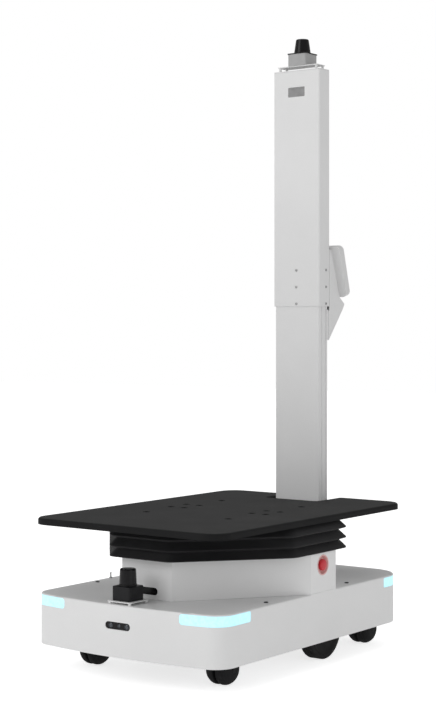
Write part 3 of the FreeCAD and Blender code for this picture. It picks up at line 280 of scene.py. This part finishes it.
# deck screws: black oxide on steel, dark and slightly oily
blackOxide = grainedFinish("blackOxideSteel", {
    "light": "#4A4B4E", "dark": "#343538", "driftMm": 4.0, "grainMm": 0.6, "depthMm": 0.03, "speck": 0.1,
    "metal": 1.0, "rough": (0.35, 0.5)})
coat(blackOxide, "deck_screws")
# housings: black anodised aluminium, an even dark satin
blackAnodised = grainedFinish("blackAnodisedAluminium", {
    "light": "#242426", "dark": "#1B1B1D", "driftMm": 30.0, "grainMm": 0.5, "depthMm": 0.03, "speck": 0.12,
    "metal": 0.6, "rough": (0.38, 0.5)})
coat(blackAnodised, "front_lidar_base", "camera_modules", "drive_controller", "battery")
# mast lidar base: bead-blasted, silver anodised aluminium, pale and nearly matt
silverAnodised = grainedFinish("blastedSilverAnodised", {
    "light": "#B8B8B8", "dark": "#A8A8A8", "driftMm": 25.0, "grainMm": 0.4, "depthMm": 0.04, "speck": 0.08,
    "metal": 0.05, "rough": (0.45, 0.55)})
coat(silverAnodised, "mast_lidar_base")

# lidar and camera windows: infrared polycarbonate, near black with a soft gloss
darkWindow = grainedFinish("infraredPolycarbonate", {
    "light": "#121113", "dark": "#0C0B0D", "driftMm": 30.0, "grainMm": 6.0, "depthMm": 0.02, "speck": 0.05,
    "rough": (0.16, 0.26), "ior": 1.585, "shine": 0.2})
coat(darkWindow, "front_lidar_window", "mast_lidar_window", "tower_camera_window", "front_camera_bezel")
# mast camera window: grey tinted glass, smooth and glossy
tintedGlass = grainedFinish("greyTintedGlass", {
    "light": "#828282", "dark": "#5E5E5E", "driftMm": 20.0, "grainMm": 8.0, "depthMm": 0.01, "speck": 0.02,
    "rough": (0.12, 0.2), "ior": 1.52, "coat": 0.3, "coatRough": 0.04})
coat(tintedGlass, "mast_camera_window")
# lenses: coated glass, dark with a blue cast and sharp highlights
coatedLens = grainedFinish("coatedLensGlass", {
    "light": "#2A3540", "dark": "#141A22", "driftMm": 5.0, "grainMm": 4.0, "depthMm": 0.01, "speck": 0.1,
    "rough": (0.05, 0.1), "ior": 1.6, "coat": 0.8, "coatRough": 0.03})
coat(coatedLens, "front_camera_lenses")
# display: touch glass over a dark panel, a smooth cool black
screenGlass = grainedFinish("touchGlass", {
    "light": "#14171C", "dark": "#101216", "driftMm": 60.0, "grainMm": 12.0, "depthMm": 0.01, "speck": 0.03,
    "rough": (0.08, 0.14), "ior": 1.52, "coat": 0.6, "coatRough": 0.03})
coat(screenGlass, "display_screen", "display_panel")

# stop head: moulded red plastic, glossy, paler where hands rub its edge
redPlastic = grainedFinish("mouldedRedPlastic", {
    "light": "#DA323D", "dark": "#CC2833", "driftMm": 12.0, "grainMm": 1.0, "depthMm": 0.03, "speck": 0.06,
    "rough": (0.3, 0.4), "ior": 1.53, "worn": "#D96A66", "wornMm": 0.8, "wornAmount": 0.4})
# stop collar: moulded pale plastic, its pink a painted reflection of the red head
paleCollarRedBounce = grainedFinish("paleCollarPaintedRedReflection", {
    "light": "#F4CDCA", "dark": "#E9B9B6", "driftMm": 12.0, "grainMm": 1.0, "depthMm": 0.03, "speck": 0.05,
    "rough": (0.35, 0.45), "ior": 1.5})
coat(paleCollarRedBounce, "stop_cup")
# hidden housings: moulded black polyamide, dull and even
blackPlastic = grainedFinish("mouldedBlackPolyamide", {
    "light": "#232325", "dark": "#1A1A1C", "driftMm": 10.0, "grainMm": 0.7, "depthMm": 0.05, "speck": 0.12,
    "rough": (0.5, 0.62), "ior": 1.53})
coat(blackPlastic, "stop_contact_block", "stop_stem", "front_lidar_rotor", "mast_lidar_rotor")

# light strips: opal acrylic lit from behind, its brightness and tint varying in soft patches
lightLook = {"glow": "#A2E5F4", "skin": "#C8F0F8", "power": 0.6, "speckMm": 9.0}


def makeDiffuser(name, look):
    material, tree, shader, place = startFinish(name, {"IOR": 1.49, "Roughness": 0.35})
    cells = addNode(tree, "ShaderNodeTexNoise", {"Scale": perMetre(look["speckMm"]), "Detail": 1.0},
                    {"Vector": place})
    glow = addNode(tree, "ShaderNodeMapRange", {"To Min": look["power"] * 0.8,
                                                "To Max": look["power"] * 1.15},
                   {"Value": cells.outputs["Fac"]})
    tone = addNode(tree, "ShaderNodeMix", {"data_type": "RGBA", 6: hexToLinear(look["skin"]),
                                           7: hexToLinear(look["glow"])}, {0: cells.outputs["Fac"]})
    tree.links.new(tone.outputs[2], shader.inputs["Base Color"])
    tree.links.new(tone.outputs[2], shader.inputs["Emission Color"])
    tree.links.new(glow.outputs[0], shader.inputs["Emission Strength"])
    return material


lightDiffuser = makeDiffuser("opalAcrylicLit", lightLook)
coat(lightDiffuser, "front_light_lenses", "rear_light_lenses")
# light boards: white solder mask, which throws the light back out
boardWhite = grainedFinish("whiteSolderMask", {
    "light": "#EEF1F2", "dark": "#E0E5E6", "driftMm": 8.0, "grainMm": 1.5, "depthMm": 0.02, "speck": 0.1,
    "rough": (0.4, 0.5)})
coat(boardWhite, "light_boards")
print("CAD pieces coated")

# bellows: coated woven fabric, three pleats with round folds, between tower and table
bellowsLook = {
    "frontHalf": 0.090, "sideFront": -0.1203, "sideRear": 0.1142, "cornerRound": 0.014, "roundSteps": 3,
    "pleats": 3, "depth": 0.0185, "lip": 0.0024, "undercut": 0.0068, "skin": 0.0013, "unevenness": 0.0012,
    "unevenSize": 0.045, "inFromSolid": 0.0008, "underTable": 0.0004, "foldRound": 0.0011,
    "longEdge": 0.05, "edgeCuts": 9}


def makeBellows(look):
    low, high = (Vector(v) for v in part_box("bellows"))
    inset = look["inFromSolid"]
    half, frontY, rearY = high.x - inset, low.y + inset, high.y - inset
    midY = (frontY + rearY) / 2.0
    lean = (half - look["frontHalf"]) / (look["sideFront"] - frontY)
    rearHalf = half - (rearY - look["sideRear"]) * lean
    deselectAll()
    bpy.ops.mesh.primitive_plane_add(size=1.0, location=(0.0, midY, low.z))
    piece = bpy.context.object
    piece.name = "bellowsFabric"
    bpy.ops.object.mode_set(mode="EDIT")
    bpy.ops.mesh.select_all(action="SELECT")
    bpy.ops.transform.resize(value=(2.0 * half, rearY - frontY, 1.0), center_override=(0.0, midY, low.z))
    bpy.ops.object.mode_set(mode="OBJECT")
    bpy.ops.object.transform_apply(location=True, rotation=True, scale=True)
    bpy.ops.object.mode_set(mode="EDIT")
    # cut the four slanting corners
    for side in (-1.0, 1.0):
        for endY, sideY, endHalf in ((frontY, look["sideFront"], look["frontHalf"]),
                                     (rearY, look["sideRear"], rearHalf)):
            run = Vector((side * half - side * endHalf, sideY - endY, 0.0))
            outward = Vector((run.y, -run.x, 0.0)) * side
            if outward.dot(Vector((side, endY - midY, 0.0))) < 0.0:
                outward = -outward
            bpy.ops.mesh.select_all(action="SELECT")
            bpy.ops.mesh.bisect(plane_co=(side * endHalf, endY, low.z), plane_no=outward.normalized(),
                                clear_outer=True)
    bpy.ops.mesh.select_all(action="SELECT")
    bpy.ops.mesh.bevel(affect="VERTICES", offset=look["cornerRound"], segments=look["roundSteps"])
    bpy.ops.mesh.select_all(action="SELECT")
    bpy.ops.mesh.delete(type="ONLY_FACE")
    pick(piece, lambda middle, edge: edge.calc_length() > look["longEdge"], "edge")
    bpy.ops.mesh.subdivide(number_cuts=look["edgeCuts"])
    bpy.ops.mesh.select_all(action="SELECT")
    # go up level by level: a stiff lip at each fold, then in to the next valley
    inX, inY = 1.0 - look["depth"] / half, 1.0 - look["depth"] / ((rearY - frontY) / 2.0)
    lip, undercut = look["lip"], look["undercut"]
    slope = (high.z - low.z - look["underTable"] - undercut * (look["pleats"] - 1)) / look["pleats"]
    levels = [(lip, False)]
    for k in range(look["pleats"]):
        base = k * (slope + undercut)
        if k > 0:
            levels.append((base - lip * 0.5, False))
            levels.append((base + lip * 0.5, False))
        levels.append((base + slope, True))
    atZ, isIn = 0.0, False
    for height, goIn in levels:
        bpy.ops.mesh.extrude_region_move(TRANSFORM_OT_translate={"value": (0.0, 0.0, height - atZ)})
        if goIn != isIn:
            value = (inX, inY, 1.0) if goIn else (1.0 / inX, 1.0 / inY, 1.0)
            bpy.ops.transform.resize(value=value, center_override=(0.0, midY, low.z + height))
        atZ, isIn = height, goIn
    bpy.ops.mesh.select_all(action="SELECT")
    bpy.ops.mesh.remove_doubles(threshold=0.00005)
    bpy.ops.mesh.normals_make_consistent(inside=False)
    bpy.ops.uv.cube_project(cube_size=1.0)
    bpy.ops.object.mode_set(mode="OBJECT")
    clouds = bpy.data.textures.new("clothUnevenness", "CLOUDS")
    clouds.noise_scale = look["unevenSize"]
    folds = piece.modifiers.new("folds", "BEVEL")
    folds.width, folds.segments, folds.angle_limit = look["foldRound"], 2, math.radians(25.0)
    uneven = piece.modifiers.new("uneven", "DISPLACE")
    uneven.texture, uneven.strength, uneven.mid_level = clouds, look["unevenness"], 0.8
    wall = piece.modifiers.new("wall", "SOLIDIFY")
    wall.thickness, wall.offset = look["skin"], -1.0
    applyAll(piece)
    bpy.ops.object.shade_smooth_by_angle(angle=math.radians(40.0))
    return piece


bellowsFabric = makeBellows(bellowsLook)
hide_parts("bellows")
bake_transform(bellowsFabric)

# polyurethane-coated nylon: fine square weave under a thin dull film
# real threads are under 1 mm apart and wouldn't show, so they are drawn 1.6 mm apart
fabricLook = {"thread": "#222224", "gap": "#141415", "threadMm": 1.6, "depthMm": 0.22, "rough": (0.55, 0.72),
              "dustAndTopLight": "#454547", "dustAndTopLightAmount": 0.12, "dustMm": 55.0}


def makeCoatedNylon(look):
    material, tree, shader, place = startFinish("coatedNylonWeave", {
        "IOR": 1.5, "Specular IOR Level": 0.3, "Sheen Weight": 0.06, "Sheen Roughness": 0.4})
    flat = addNode(tree, "ShaderNodeUVMap").outputs[0]
    waves = []
    for direction in ("X", "Y"):
        wave = addNode(tree, "ShaderNodeTexWave", {"bands_direction": direction, "Distortion": 0.3,
                                                   "Scale": perMetre(look["threadMm"]) / 3.1416 * 0.5},
                       {"Vector": flat})
        waves.append(wave.outputs["Fac"])
    weave = addNode(tree, "ShaderNodeMath", {"operation": "MULTIPLY"}, {0: waves[0], 1: waves[1]})
    dustAndTopLight = addNode(tree, "ShaderNodeTexNoise", {"Scale": perMetre(look["dustMm"]), "Detail": 4.0},
                   {"Vector": place})
    tone = addNode(tree, "ShaderNodeMix", {"data_type": "RGBA", 6: hexToLinear(look["gap"]),
                                           7: hexToLinear(look["thread"])}, {0: weave.outputs[0]})
    dustyAndTopLit = addNode(tree, "ShaderNodeMapRange", {"From Min": 0.3, "From Max": 0.8, "To Min": 0.0,
                                                 "To Max": look["dustAndTopLightAmount"]},
                    {"Value": dustAndTopLight.outputs["Fac"]})
    colour = addNode(tree, "ShaderNodeMix", {"data_type": "RGBA", 7: hexToLinear(look["dustAndTopLight"])},
                     {0: dustyAndTopLit.outputs[0], 6: tone.outputs[2]})
    rough = addNode(tree, "ShaderNodeMapRange", {"To Min": look["rough"][0], "To Max": look["rough"][1]},
                    {"Value": dustAndTopLight.outputs["Fac"]})
    relief = addNode(tree, "ShaderNodeBump", {"Strength": 0.5, "Distance": look["depthMm"] / 1000.0},
                     {"Height": weave.outputs[0]})
    tree.links.new(colour.outputs[2], shader.inputs["Base Color"])
    tree.links.new(rough.outputs[0], shader.inputs["Roughness"])
    tree.links.new(relief.outputs[0], shader.inputs["Normal"])
    return material


bellowsFabric.data.materials.clear()
bellowsFabric.data.materials.append(makeCoatedNylon(fabricLook))
print("bellows made")


# turned pieces: a profile pulled out point by point, then spun
def spinPiece(name, profile, axis, centre, steps=72):
    # profile is (radius, height) in metres, height along the axis and measured from the centre
    deselectAll()
    bpy.ops.mesh.primitive_plane_add(size=0.002, location=(0.0, 0.0, 0.0))
    piece = bpy.context.object
    piece.name = name
    bpy.ops.object.mode_set(mode="EDIT")
    bpy.ops.mesh.select_all(action="SELECT")
    bpy.ops.mesh.merge(type="CENTER")
    bpy.ops.mesh.select_all(action="SELECT")
    bpy.ops.transform.translate(value=(profile[0][0], 0.0, profile[0][1]))
    for (fromR, fromH), (toR, toH) in zip(profile, profile[1:]):
        step = (toR - fromR, 0.0, toH - fromH)
        bpy.ops.mesh.extrude_region_move(TRANSFORM_OT_translate={"value": step})
    bpy.ops.mesh.select_all(action="SELECT")
    bpy.ops.mesh.spin(steps=steps, angle=math.radians(360.0), center=(0.0, 0.0, 0.0), axis=(0.0, 0.0, 1.0))
    bpy.ops.mesh.select_all(action="SELECT")
    bpy.ops.mesh.remove_doubles(threshold=0.00002)
    bpy.ops.mesh.normals_make_consistent(inside=False)
    # without a window rotate turns the other way: heights end up along +X, or along -Y
    if axis == "X":
        bpy.ops.transform.rotate(value=math.radians(-90.0), orient_axis="Y", center_override=(0.0, 0.0, 0.0))
    if axis == "Y":
        bpy.ops.transform.rotate(value=math.radians(-90.0), orient_axis="X", center_override=(0.0, 0.0, 0.0))
    bpy.ops.transform.translate(value=centre)
    bpy.ops.object.mode_set(mode="OBJECT")
    bpy.ops.object.shade_smooth_by_angle(angle=math.radians(35.0))
    return piece


def copyPiece(piece, name, shift):
    # a copy with its own mesh, moved inside its mesh
    twin = piece.copy()
    twin.data = piece.data.copy()
    twin.name = name
    bpy.context.scene.collection.objects.link(twin)
    deselectAll()
    twin.select_set(True)
    bpy.context.view_layer.objects.active = twin
    bpy.ops.object.mode_set(mode="EDIT")
    bpy.ops.mesh.select_all(action="SELECT")
    bpy.ops.transform.translate(value=shift)
    bpy.ops.object.mode_set(mode="OBJECT")
    return twin


def finishWith(piece, material, body):
    # gives a new piece its finish and its body
    piece.data.materials.clear()
    piece.data.materials.append(material)
    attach(piece, body)


def middleOf(name):
    lowEnd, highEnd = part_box(name)
    return [(a + b) / 2.0 for a, b in zip(lowEnd, highEnd)]


# drive tyres: polyurethane band with three round grooves and soft shoulders
tyreLook = {"rim": 0.062, "outer": 0.074, "half": 0.0165, "grooves": (-0.0078, 0.0, 0.0078), "cut": 0.0012,
            "deep": 0.0016}


def makeTyre(name, look, centre):
    r, h, cut, deep = look["outer"], look["half"], look["cut"], look["deep"]
    profile = [(look["rim"], -h), (r - 0.0018, -h), (r - 0.0006, -h + 0.0006), (r, -h + 0.0018)]
    for at in look["grooves"]:
        profile += [(r, at - cut), (r - deep, at - cut * 0.7), (r - deep, at + cut * 0.7), (r, at + cut)]
    profile += [(r, h - 0.0018), (r - 0.0006, h - 0.0006), (r - 0.0018, h), (look["rim"], h),
                (look["rim"], -h)]
    return spinPiece(name, profile, "X", centre, 96)


tyreRight = makeTyre("grooveTyreRight", tyreLook, middleOf("drive_tyre_right"))
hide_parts("drive_tyre_right")
finishWith(tyreRight, polyurethane, "drive_right")
tyreLeft = makeTyre("grooveTyreLeft", tyreLook, middleOf("drive_tyre_left"))
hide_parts("drive_tyre_left")
finishWith(tyreLeft, polyurethane, "drive_left")

# drive wheels: pressed cover over the hub, with a rolled rim, a shallow dish and a centre boss
capLook = {"rim": 0.0615, "stand": 0.0016, "dish": 0.0022, "boss": 0.014}


def makeWheelCap(name, look, tyreName, outward):
    tyreLow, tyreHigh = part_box(tyreName)
    centre = middleOf(tyreName)
    faceX = tyreHigh[0] if outward > 0 else tyreLow[0]
    r, stand, dish, boss = look["rim"], look["stand"], look["dish"], look["boss"]
    profile = [(r, -0.0012), (r, -0.0002), (r - 0.0006, 0.0003), (r - 0.002, 0.0003),
               (r - 0.006, -dish * 0.5), (r - 0.011, -dish), (boss + 0.012, -dish),
               (boss + 0.004, -dish * 0.7), (boss, -dish * 0.1), (boss - 0.002, stand * 0.1),
               (boss - 0.0035, stand * 0.2), (0.0, stand * 0.2),
               (0.0, -0.0012 - dish), (r - 0.011, -0.0012 - dish), (r - 0.006, -0.0012 - dish * 0.5),
               (r, -0.0012)]
    profile = [(radius, height * outward) for radius, height in profile]
    return spinPiece(name, profile, "X", (faceX, centre[1], centre[2]), 96)


for side, name, outward in (("left", "wheelCapLeft", -1), ("right", "wheelCapRight", 1)):
    wheelCap = makeWheelCap(name, capLook, "drive_tyre_" + side, outward)
    finishWith(wheelCap, polyurethane, "drive_" + side)

# caster wheels: domed covers with a raised tread band and one fine ring groove
casterLook = {"outer": 0.0375, "half": 0.034, "inner": 0.0037, "bore": 0.0041}


def makeCasterHalf(look):
    r, w, i = look["outer"], look["half"], look["inner"]
    profile = [(look["bore"], i), (r - 0.002, i), (r - 0.0003, i + 0.0012), (r, i + 0.003), (r, w * 0.32),
               (r * 0.985, w * 0.43), (r * 0.945, w * 0.555), (r * 0.93, w * 0.575), (r * 0.905, w * 0.58),
               (r * 0.9, w * 0.61), (r * 0.865, w * 0.69), (r * 0.82, w * 0.755), (r * 0.76, w * 0.82),
               (r * 0.69, w * 0.875), (r * 0.61, w * 0.92), (r * 0.53, w * 0.955), (r * 0.44, w * 0.98),
               (r * 0.3, w * 0.998), (r * 0.28, w * 0.975), (r * 0.24, w * 0.975), (r * 0.22, w * 0.99),
               (0.0, w * 0.992)]
    return spinPiece("casterHalf", profile, "X", (0.0, 0.0, 0.0), 64)


casterHalf = makeCasterHalf(casterLook)
for corner in ("front_left", "front_right", "rear_left", "rear_right"):
    centre = middleOf("caster_wheel_" + corner)
    wheel = copyPiece(casterHalf, "domedCaster_" + corner, (0.0, 0.0, 0.0))
    bpy.ops.object.mode_set(mode="EDIT")
    bpy.ops.mesh.select_all(action="SELECT")
    bpy.ops.mesh.duplicate()
    bpy.ops.transform.resize(value=(-1.0, 1.0, 1.0), center_override=(0.0, 0.0, 0.0))
    bpy.ops.mesh.select_all(action="SELECT")
    bpy.ops.mesh.normals_make_consistent(inside=False)
    bpy.ops.transform.translate(value=centre)
    bpy.ops.object.mode_set(mode="OBJECT")
    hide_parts("caster_wheel_" + corner)
    finishWith(wheel, polyurethane, "wheels_" + corner)
bpy.data.objects.remove(casterHalf)
print("wheels made")

# emergency stop: mushroom head with a flat grip band and a low dome
stopLook = {"head": 0.014, "dome": 0.0009, "gap": 0.0002}


def makeStopHead(look):
    lowEnd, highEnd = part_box("stop_head")
    centre = middleOf("stop_head")
    tall = highEnd[0] - lowEnd[0] - look["gap"]
    dome = tall - look["dome"]
    r = look["head"]
    profile = [(0.0, 0.003), (0.0055, 0.003), (0.0055, 0.0), (r - 0.001, 0.0), (r - 0.0003, 0.0003),
               (r, 0.001),
               (r, dome - 0.0035), (r - 0.0002, dome - 0.0024), (r - 0.0008, dome - 0.0013),
               (r - 0.0018, dome - 0.0005), (r - 0.003, dome), (r - 0.0065, dome + look["dome"] * 0.6),
               (0.004, dome + look["dome"] * 0.93), (0.0, dome + look["dome"])]
    return spinPiece("stopMushroom", profile, "X", (lowEnd[0], centre[1], centre[2]), 64)


stopMushroom = makeStopHead(stopLook)
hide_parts("stop_head")
finishWith(stopMushroom, redPlastic, "stop_button")
print("emergency stop made")

# front camera: a turned ring round each lens
ringLook = {"lenses": ((-0.022, 0.005), (0.0035, 0.0032), (0.026, 0.005)), "wide": 0.0014, "proud": 0.0004}
bezelLow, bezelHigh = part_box("front_camera_bezel")
# turned dark aluminium: fine rings that catch a thin highlight
ringMetal = brushedFinish("turnedDarkAluminium", {
    "light": "#5C6066", "dark": "#3E4146", "lines": (1.0, 1.0, 1.0), "lineMm": 0.6, "driftMm": 3.0,
    "depthMm": 0.01, "rough": (0.25, 0.4)})
for k, (atX, lensR) in enumerate(ringLook["lenses"]):
    inner, outer = lensR + 0.0002, lensR + ringLook["wide"]
    profile = [(inner, -0.0002), (outer, -0.0002), (outer, ringLook["proud"] * 0.5),
               (outer - 0.0003, ringLook["proud"]), (inner + 0.0004, ringLook["proud"]), (inner, -0.0002)]
    ring = spinPiece("lensRing_%d" % (k + 1), profile, "Y",
                     (atX, bezelLow[1], (bezelLow[2] + bezelHigh[2]) / 2.0), 48)
    finishWith(ring, ringMetal, "chassis")
print("lens rings made")

# table: flanged steel bushes pressed into the bolt holes
bushLook = {"flange": 0.0092, "bore": 0.0044, "proud": 0.0005, "neck": 0.003}
# matt black oxide: darker than the table, hardly any shine, so the flanges also stand as painted shade round
# the holes
matteOxideAndHoleShade = grainedFinish("matteBlackOxideAndHoleShade", {
    "light": "#101011", "dark": "#0A0A0B", "driftMm": 5.0, "grainMm": 0.8, "depthMm": 0.03, "speck": 0.1,
    "rough": (0.7, 0.85), "shine": 0.15})
bushCount = 0
for mount in frame["record"]["mounts"]:
    if mount["kind"] != "bolt_pattern":
        continue
    stepX, stepY = mount["dims"]["spacing_x_mm"] / 2000.0, mount["dims"]["spacing_y_mm"] / 2000.0
    for signX in (-1.0, 1.0):
        for signY in (-1.0, 1.0):
            bushCount += 1
            place = (mount["pos_m"][0] + signX * stepX, mount["pos_m"][1] + signY * stepY, mount["pos_m"][2])
            if bushCount == 1:
                bore, flange, proud = bushLook["bore"] - 0.0004, bushLook["flange"], bushLook["proud"]
                neck = bushLook["neck"]
                profile = [(bore, -neck), (bore + 0.0002, -neck), (bore + 0.0002, 0.0001), (flange, 0.0001),
                           (flange, proud * 0.5), (flange - 0.0006, proud), (bore + 0.0012, proud),
                           (bore, proud - 0.0008), (bore, -neck)]
                firstBush, firstPlace = spinPiece("tableBush_1", profile, "Z", place, 32), place
                bush = firstBush
            else:
                bush = copyPiece(firstBush, "tableBush_%d" % bushCount,
                                 [a - b for a, b in zip(place, firstPlace)])
            finishWith(bush, matteOxideAndHoleShade, "table")
print("table bushes made")

# mast lidar: black sealing band round the top edge of its silver base
bandLook = {"over": 0.0011, "skin": 0.0007, "down": 0.0018, "above": 0.0009, "lip": 0.0045, "corner": 0.0035}
# black silicone: soft and dull
blackSeal = grainedFinish("blackSiliconeSeal", {
    "light": "#1B1B1C", "dark": "#131314", "driftMm": 8.0, "grainMm": 0.9, "depthMm": 0.03, "speck": 0.1,
    "rough": (0.55, 0.7), "shine": 0.3})
baseLow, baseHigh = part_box("mast_lidar_base")
deselectAll()
bpy.ops.mesh.primitive_plane_add(size=baseHigh[0] - baseLow[0] + 2.0 * bandLook["over"], location=(
    (baseLow[0] + baseHigh[0]) / 2.0, (baseLow[1] + baseHigh[1]) / 2.0, baseHigh[2] - bandLook["down"]))
lidarBand = bpy.context.object
lidarBand.name = "lidarSealBand"
bpy.ops.object.transform_apply(location=True, rotation=True, scale=True)
bpy.ops.object.mode_set(mode="EDIT")
bpy.ops.mesh.select_all(action="SELECT")
bpy.ops.mesh.bevel(affect="VERTICES", offset=bandLook["corner"], segments=4)
bpy.ops.mesh.select_all(action="SELECT")
bandTall = bandLook["down"] + bandLook["above"]
bpy.ops.mesh.extrude_region_move(TRANSFORM_OT_translate={"value": (0.0, 0.0, bandTall)})
bpy.ops.mesh.inset(thickness=bandLook["lip"], depth=0.0)
bpy.ops.mesh.delete(type="FACE")
bandFoot = baseHigh[2] - bandLook["down"] + 0.0001
pick(lidarBand, lambda middle, normal: middle.z < bandFoot and abs(normal.z) > 0.9)
bpy.ops.mesh.delete(type="FACE")
bpy.ops.mesh.select_all(action="SELECT")
bpy.ops.mesh.remove_doubles(threshold=0.00002)
bpy.ops.object.mode_set(mode="OBJECT")
bandRound = lidarBand.modifiers.new("soften", "BEVEL")
bandRound.width, bandRound.segments, bandRound.angle_limit = 0.0003, 2, math.radians(50.0)
bandWall = lidarBand.modifiers.new("wall", "SOLIDIFY")
bandWall.thickness, bandWall.offset = bandLook["skin"], -1.0
applyAll(lidarBand)
bpy.ops.object.shade_smooth_by_angle(angle=math.radians(35.0))
finishWith(lidarBand, blackSeal, "chassis")
print("lidar seal made")

# display bracket: painted cover strips that close its seam against the column
stripLook = {"wide": 0.0085, "reach": 0.0016, "inset": 0.0018, "slit": 0.009, "edge": 0.0003}
columnLow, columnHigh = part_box("mast_column")
sleeveLow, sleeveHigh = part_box("mast_sleeve")
wedgeLow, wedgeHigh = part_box("display_wedge")
for side, name in ((-1.0, "seamStripLeft"), (1.0, "seamStripRight")):
    innerX, outerX = columnHigh[0] + 0.0001, sleeveHigh[0] - stripLook["inset"]
    lowZ, topZ = wedgeLow[2] + 0.001, sleeveLow[2] - stripLook["slit"]
    deselectAll()
    bpy.ops.mesh.primitive_plane_add(size=1.0, location=(0.0, 0.0, 0.0))
    strip = bpy.context.object
    strip.name = name
    bpy.ops.object.mode_set(mode="EDIT")
    bpy.ops.mesh.select_all(action="SELECT")
    deep = stripLook["wide"] + stripLook["reach"]
    bpy.ops.transform.resize(value=(outerX - innerX, deep, 1.0), center_override=(0.0, 0.0, 0.0))
    bpy.ops.transform.translate(value=(side * (innerX + outerX) / 2.0,
                                       columnHigh[1] + stripLook["reach"] - deep / 2.0, lowZ))
    bpy.ops.mesh.extrude_region_move(TRANSFORM_OT_translate={"value": (0.0, 0.0, topZ - lowZ)})
    bpy.ops.mesh.select_all(action="SELECT")
    bpy.ops.mesh.normals_make_consistent(inside=False)
    bpy.ops.mesh.bevel(affect="EDGES", offset=stripLook["edge"], segments=3)
    bpy.ops.object.mode_set(mode="OBJECT")
    bpy.ops.object.shade_smooth_by_angle(angle=math.radians(35.0))
    finishWith(strip, mastCoat, "chassis")
print("seam strips made")

# floor: pale poured floor, matt, so the robot stands on it without a mirror image
floorLook = {"half": 14.0, "tone": "#F6F6F6", "shade": "#F2F2F2", "lift": 0.26, "seenLift": 0.75}
deselectAll()
bpy.ops.mesh.primitive_plane_add(size=2.0 * floorLook["half"], location=(0.0, 0.0, 0.0))
studioFloor = bpy.context.object
studioFloor.name = "studioFloor"
paleFloor = grainedFinish("pouredPaleFloor", {
    "light": floorLook["tone"], "dark": floorLook["shade"], "driftMm": 900.0, "grainMm": 6.0, "depthMm": 0.02,
    "speck": 0.01, "rough": (0.7, 0.85)})
# the floor glows a little to stay pale, and more where it is seen directly than where it lights the robot
floorTree = paleFloor.node_tree
floorShader = next(node for node in floorTree.nodes if node.type == "BSDF_PRINCIPLED")
floorShader.inputs["Emission Color"].default_value = hexToLinear("#FFFFFF")
direct = addNode(floorTree, "ShaderNodeLightPath")
lift = addNode(floorTree, "ShaderNodeMapRange", {"To Min": floorLook["lift"],
                                                 "To Max": floorLook["seenLift"]},
               {"Value": direct.outputs["Is Camera Ray"]})
floorTree.links.new(lift.outputs[0], floorShader.inputs["Emission Strength"])
studioFloor.data.materials.append(paleFloor)

# a large key from the front left, a soft top light and a weak fill from the right
lightPlan = {
    "keyLight": {"place": (-1.6, -3.9, 2.6), "size": 2.6, "power": 51.0},
    "topLight": {"place": (0.3, 0.2, 4.2), "size": 3.2, "power": 18.0},
    "fillLight": {"place": (3.8, -0.8, 1.0), "size": 2.4, "power": 11.0}}
lookAt = Vector((0.0, 0.0, 0.6))
for name, plan in lightPlan.items():
    lamp = bpy.data.lights.new(name, "AREA")
    lamp.shape, lamp.size, lamp.energy = "SQUARE", plan["size"], plan["power"]
    holder = bpy.data.objects.new(name, lamp)
    holder.location = plan["place"]
    aim = lookAt - Vector(plan["place"])
    holder.rotation_euler = aim.to_track_quat("-Z", "Y").to_euler()
    bpy.context.scene.collection.objects.link(holder)

roomLook = {"air": 0.44, "wall": 1.0, "tone": "#FFFFFF"}
room = bpy.data.worlds.new("paleRoom")
bpy.context.scene.world = room
room.use_nodes = True
roomTree = room.node_tree
roomTree.nodes.clear()
# a bright cyclorama behind, and a softer room light that shades the robot
roomTone = hexToLinear(roomLook["tone"])
wall = addNode(roomTree, "ShaderNodeBackground", {"Color": roomTone, "Strength": roomLook["wall"]})
air = addNode(roomTree, "ShaderNodeBackground", {"Color": roomTone, "Strength": roomLook["air"]})
seen = addNode(roomTree, "ShaderNodeLightPath")
sky = addNode(roomTree, "ShaderNodeMixShader", links={0: seen.outputs["Is Camera Ray"], 1: air.outputs[0],
                                                      2: wall.outputs[0]})
addNode(roomTree, "ShaderNodeOutputWorld", links={"Surface": sky.outputs[0]})
print("floor and lights set")
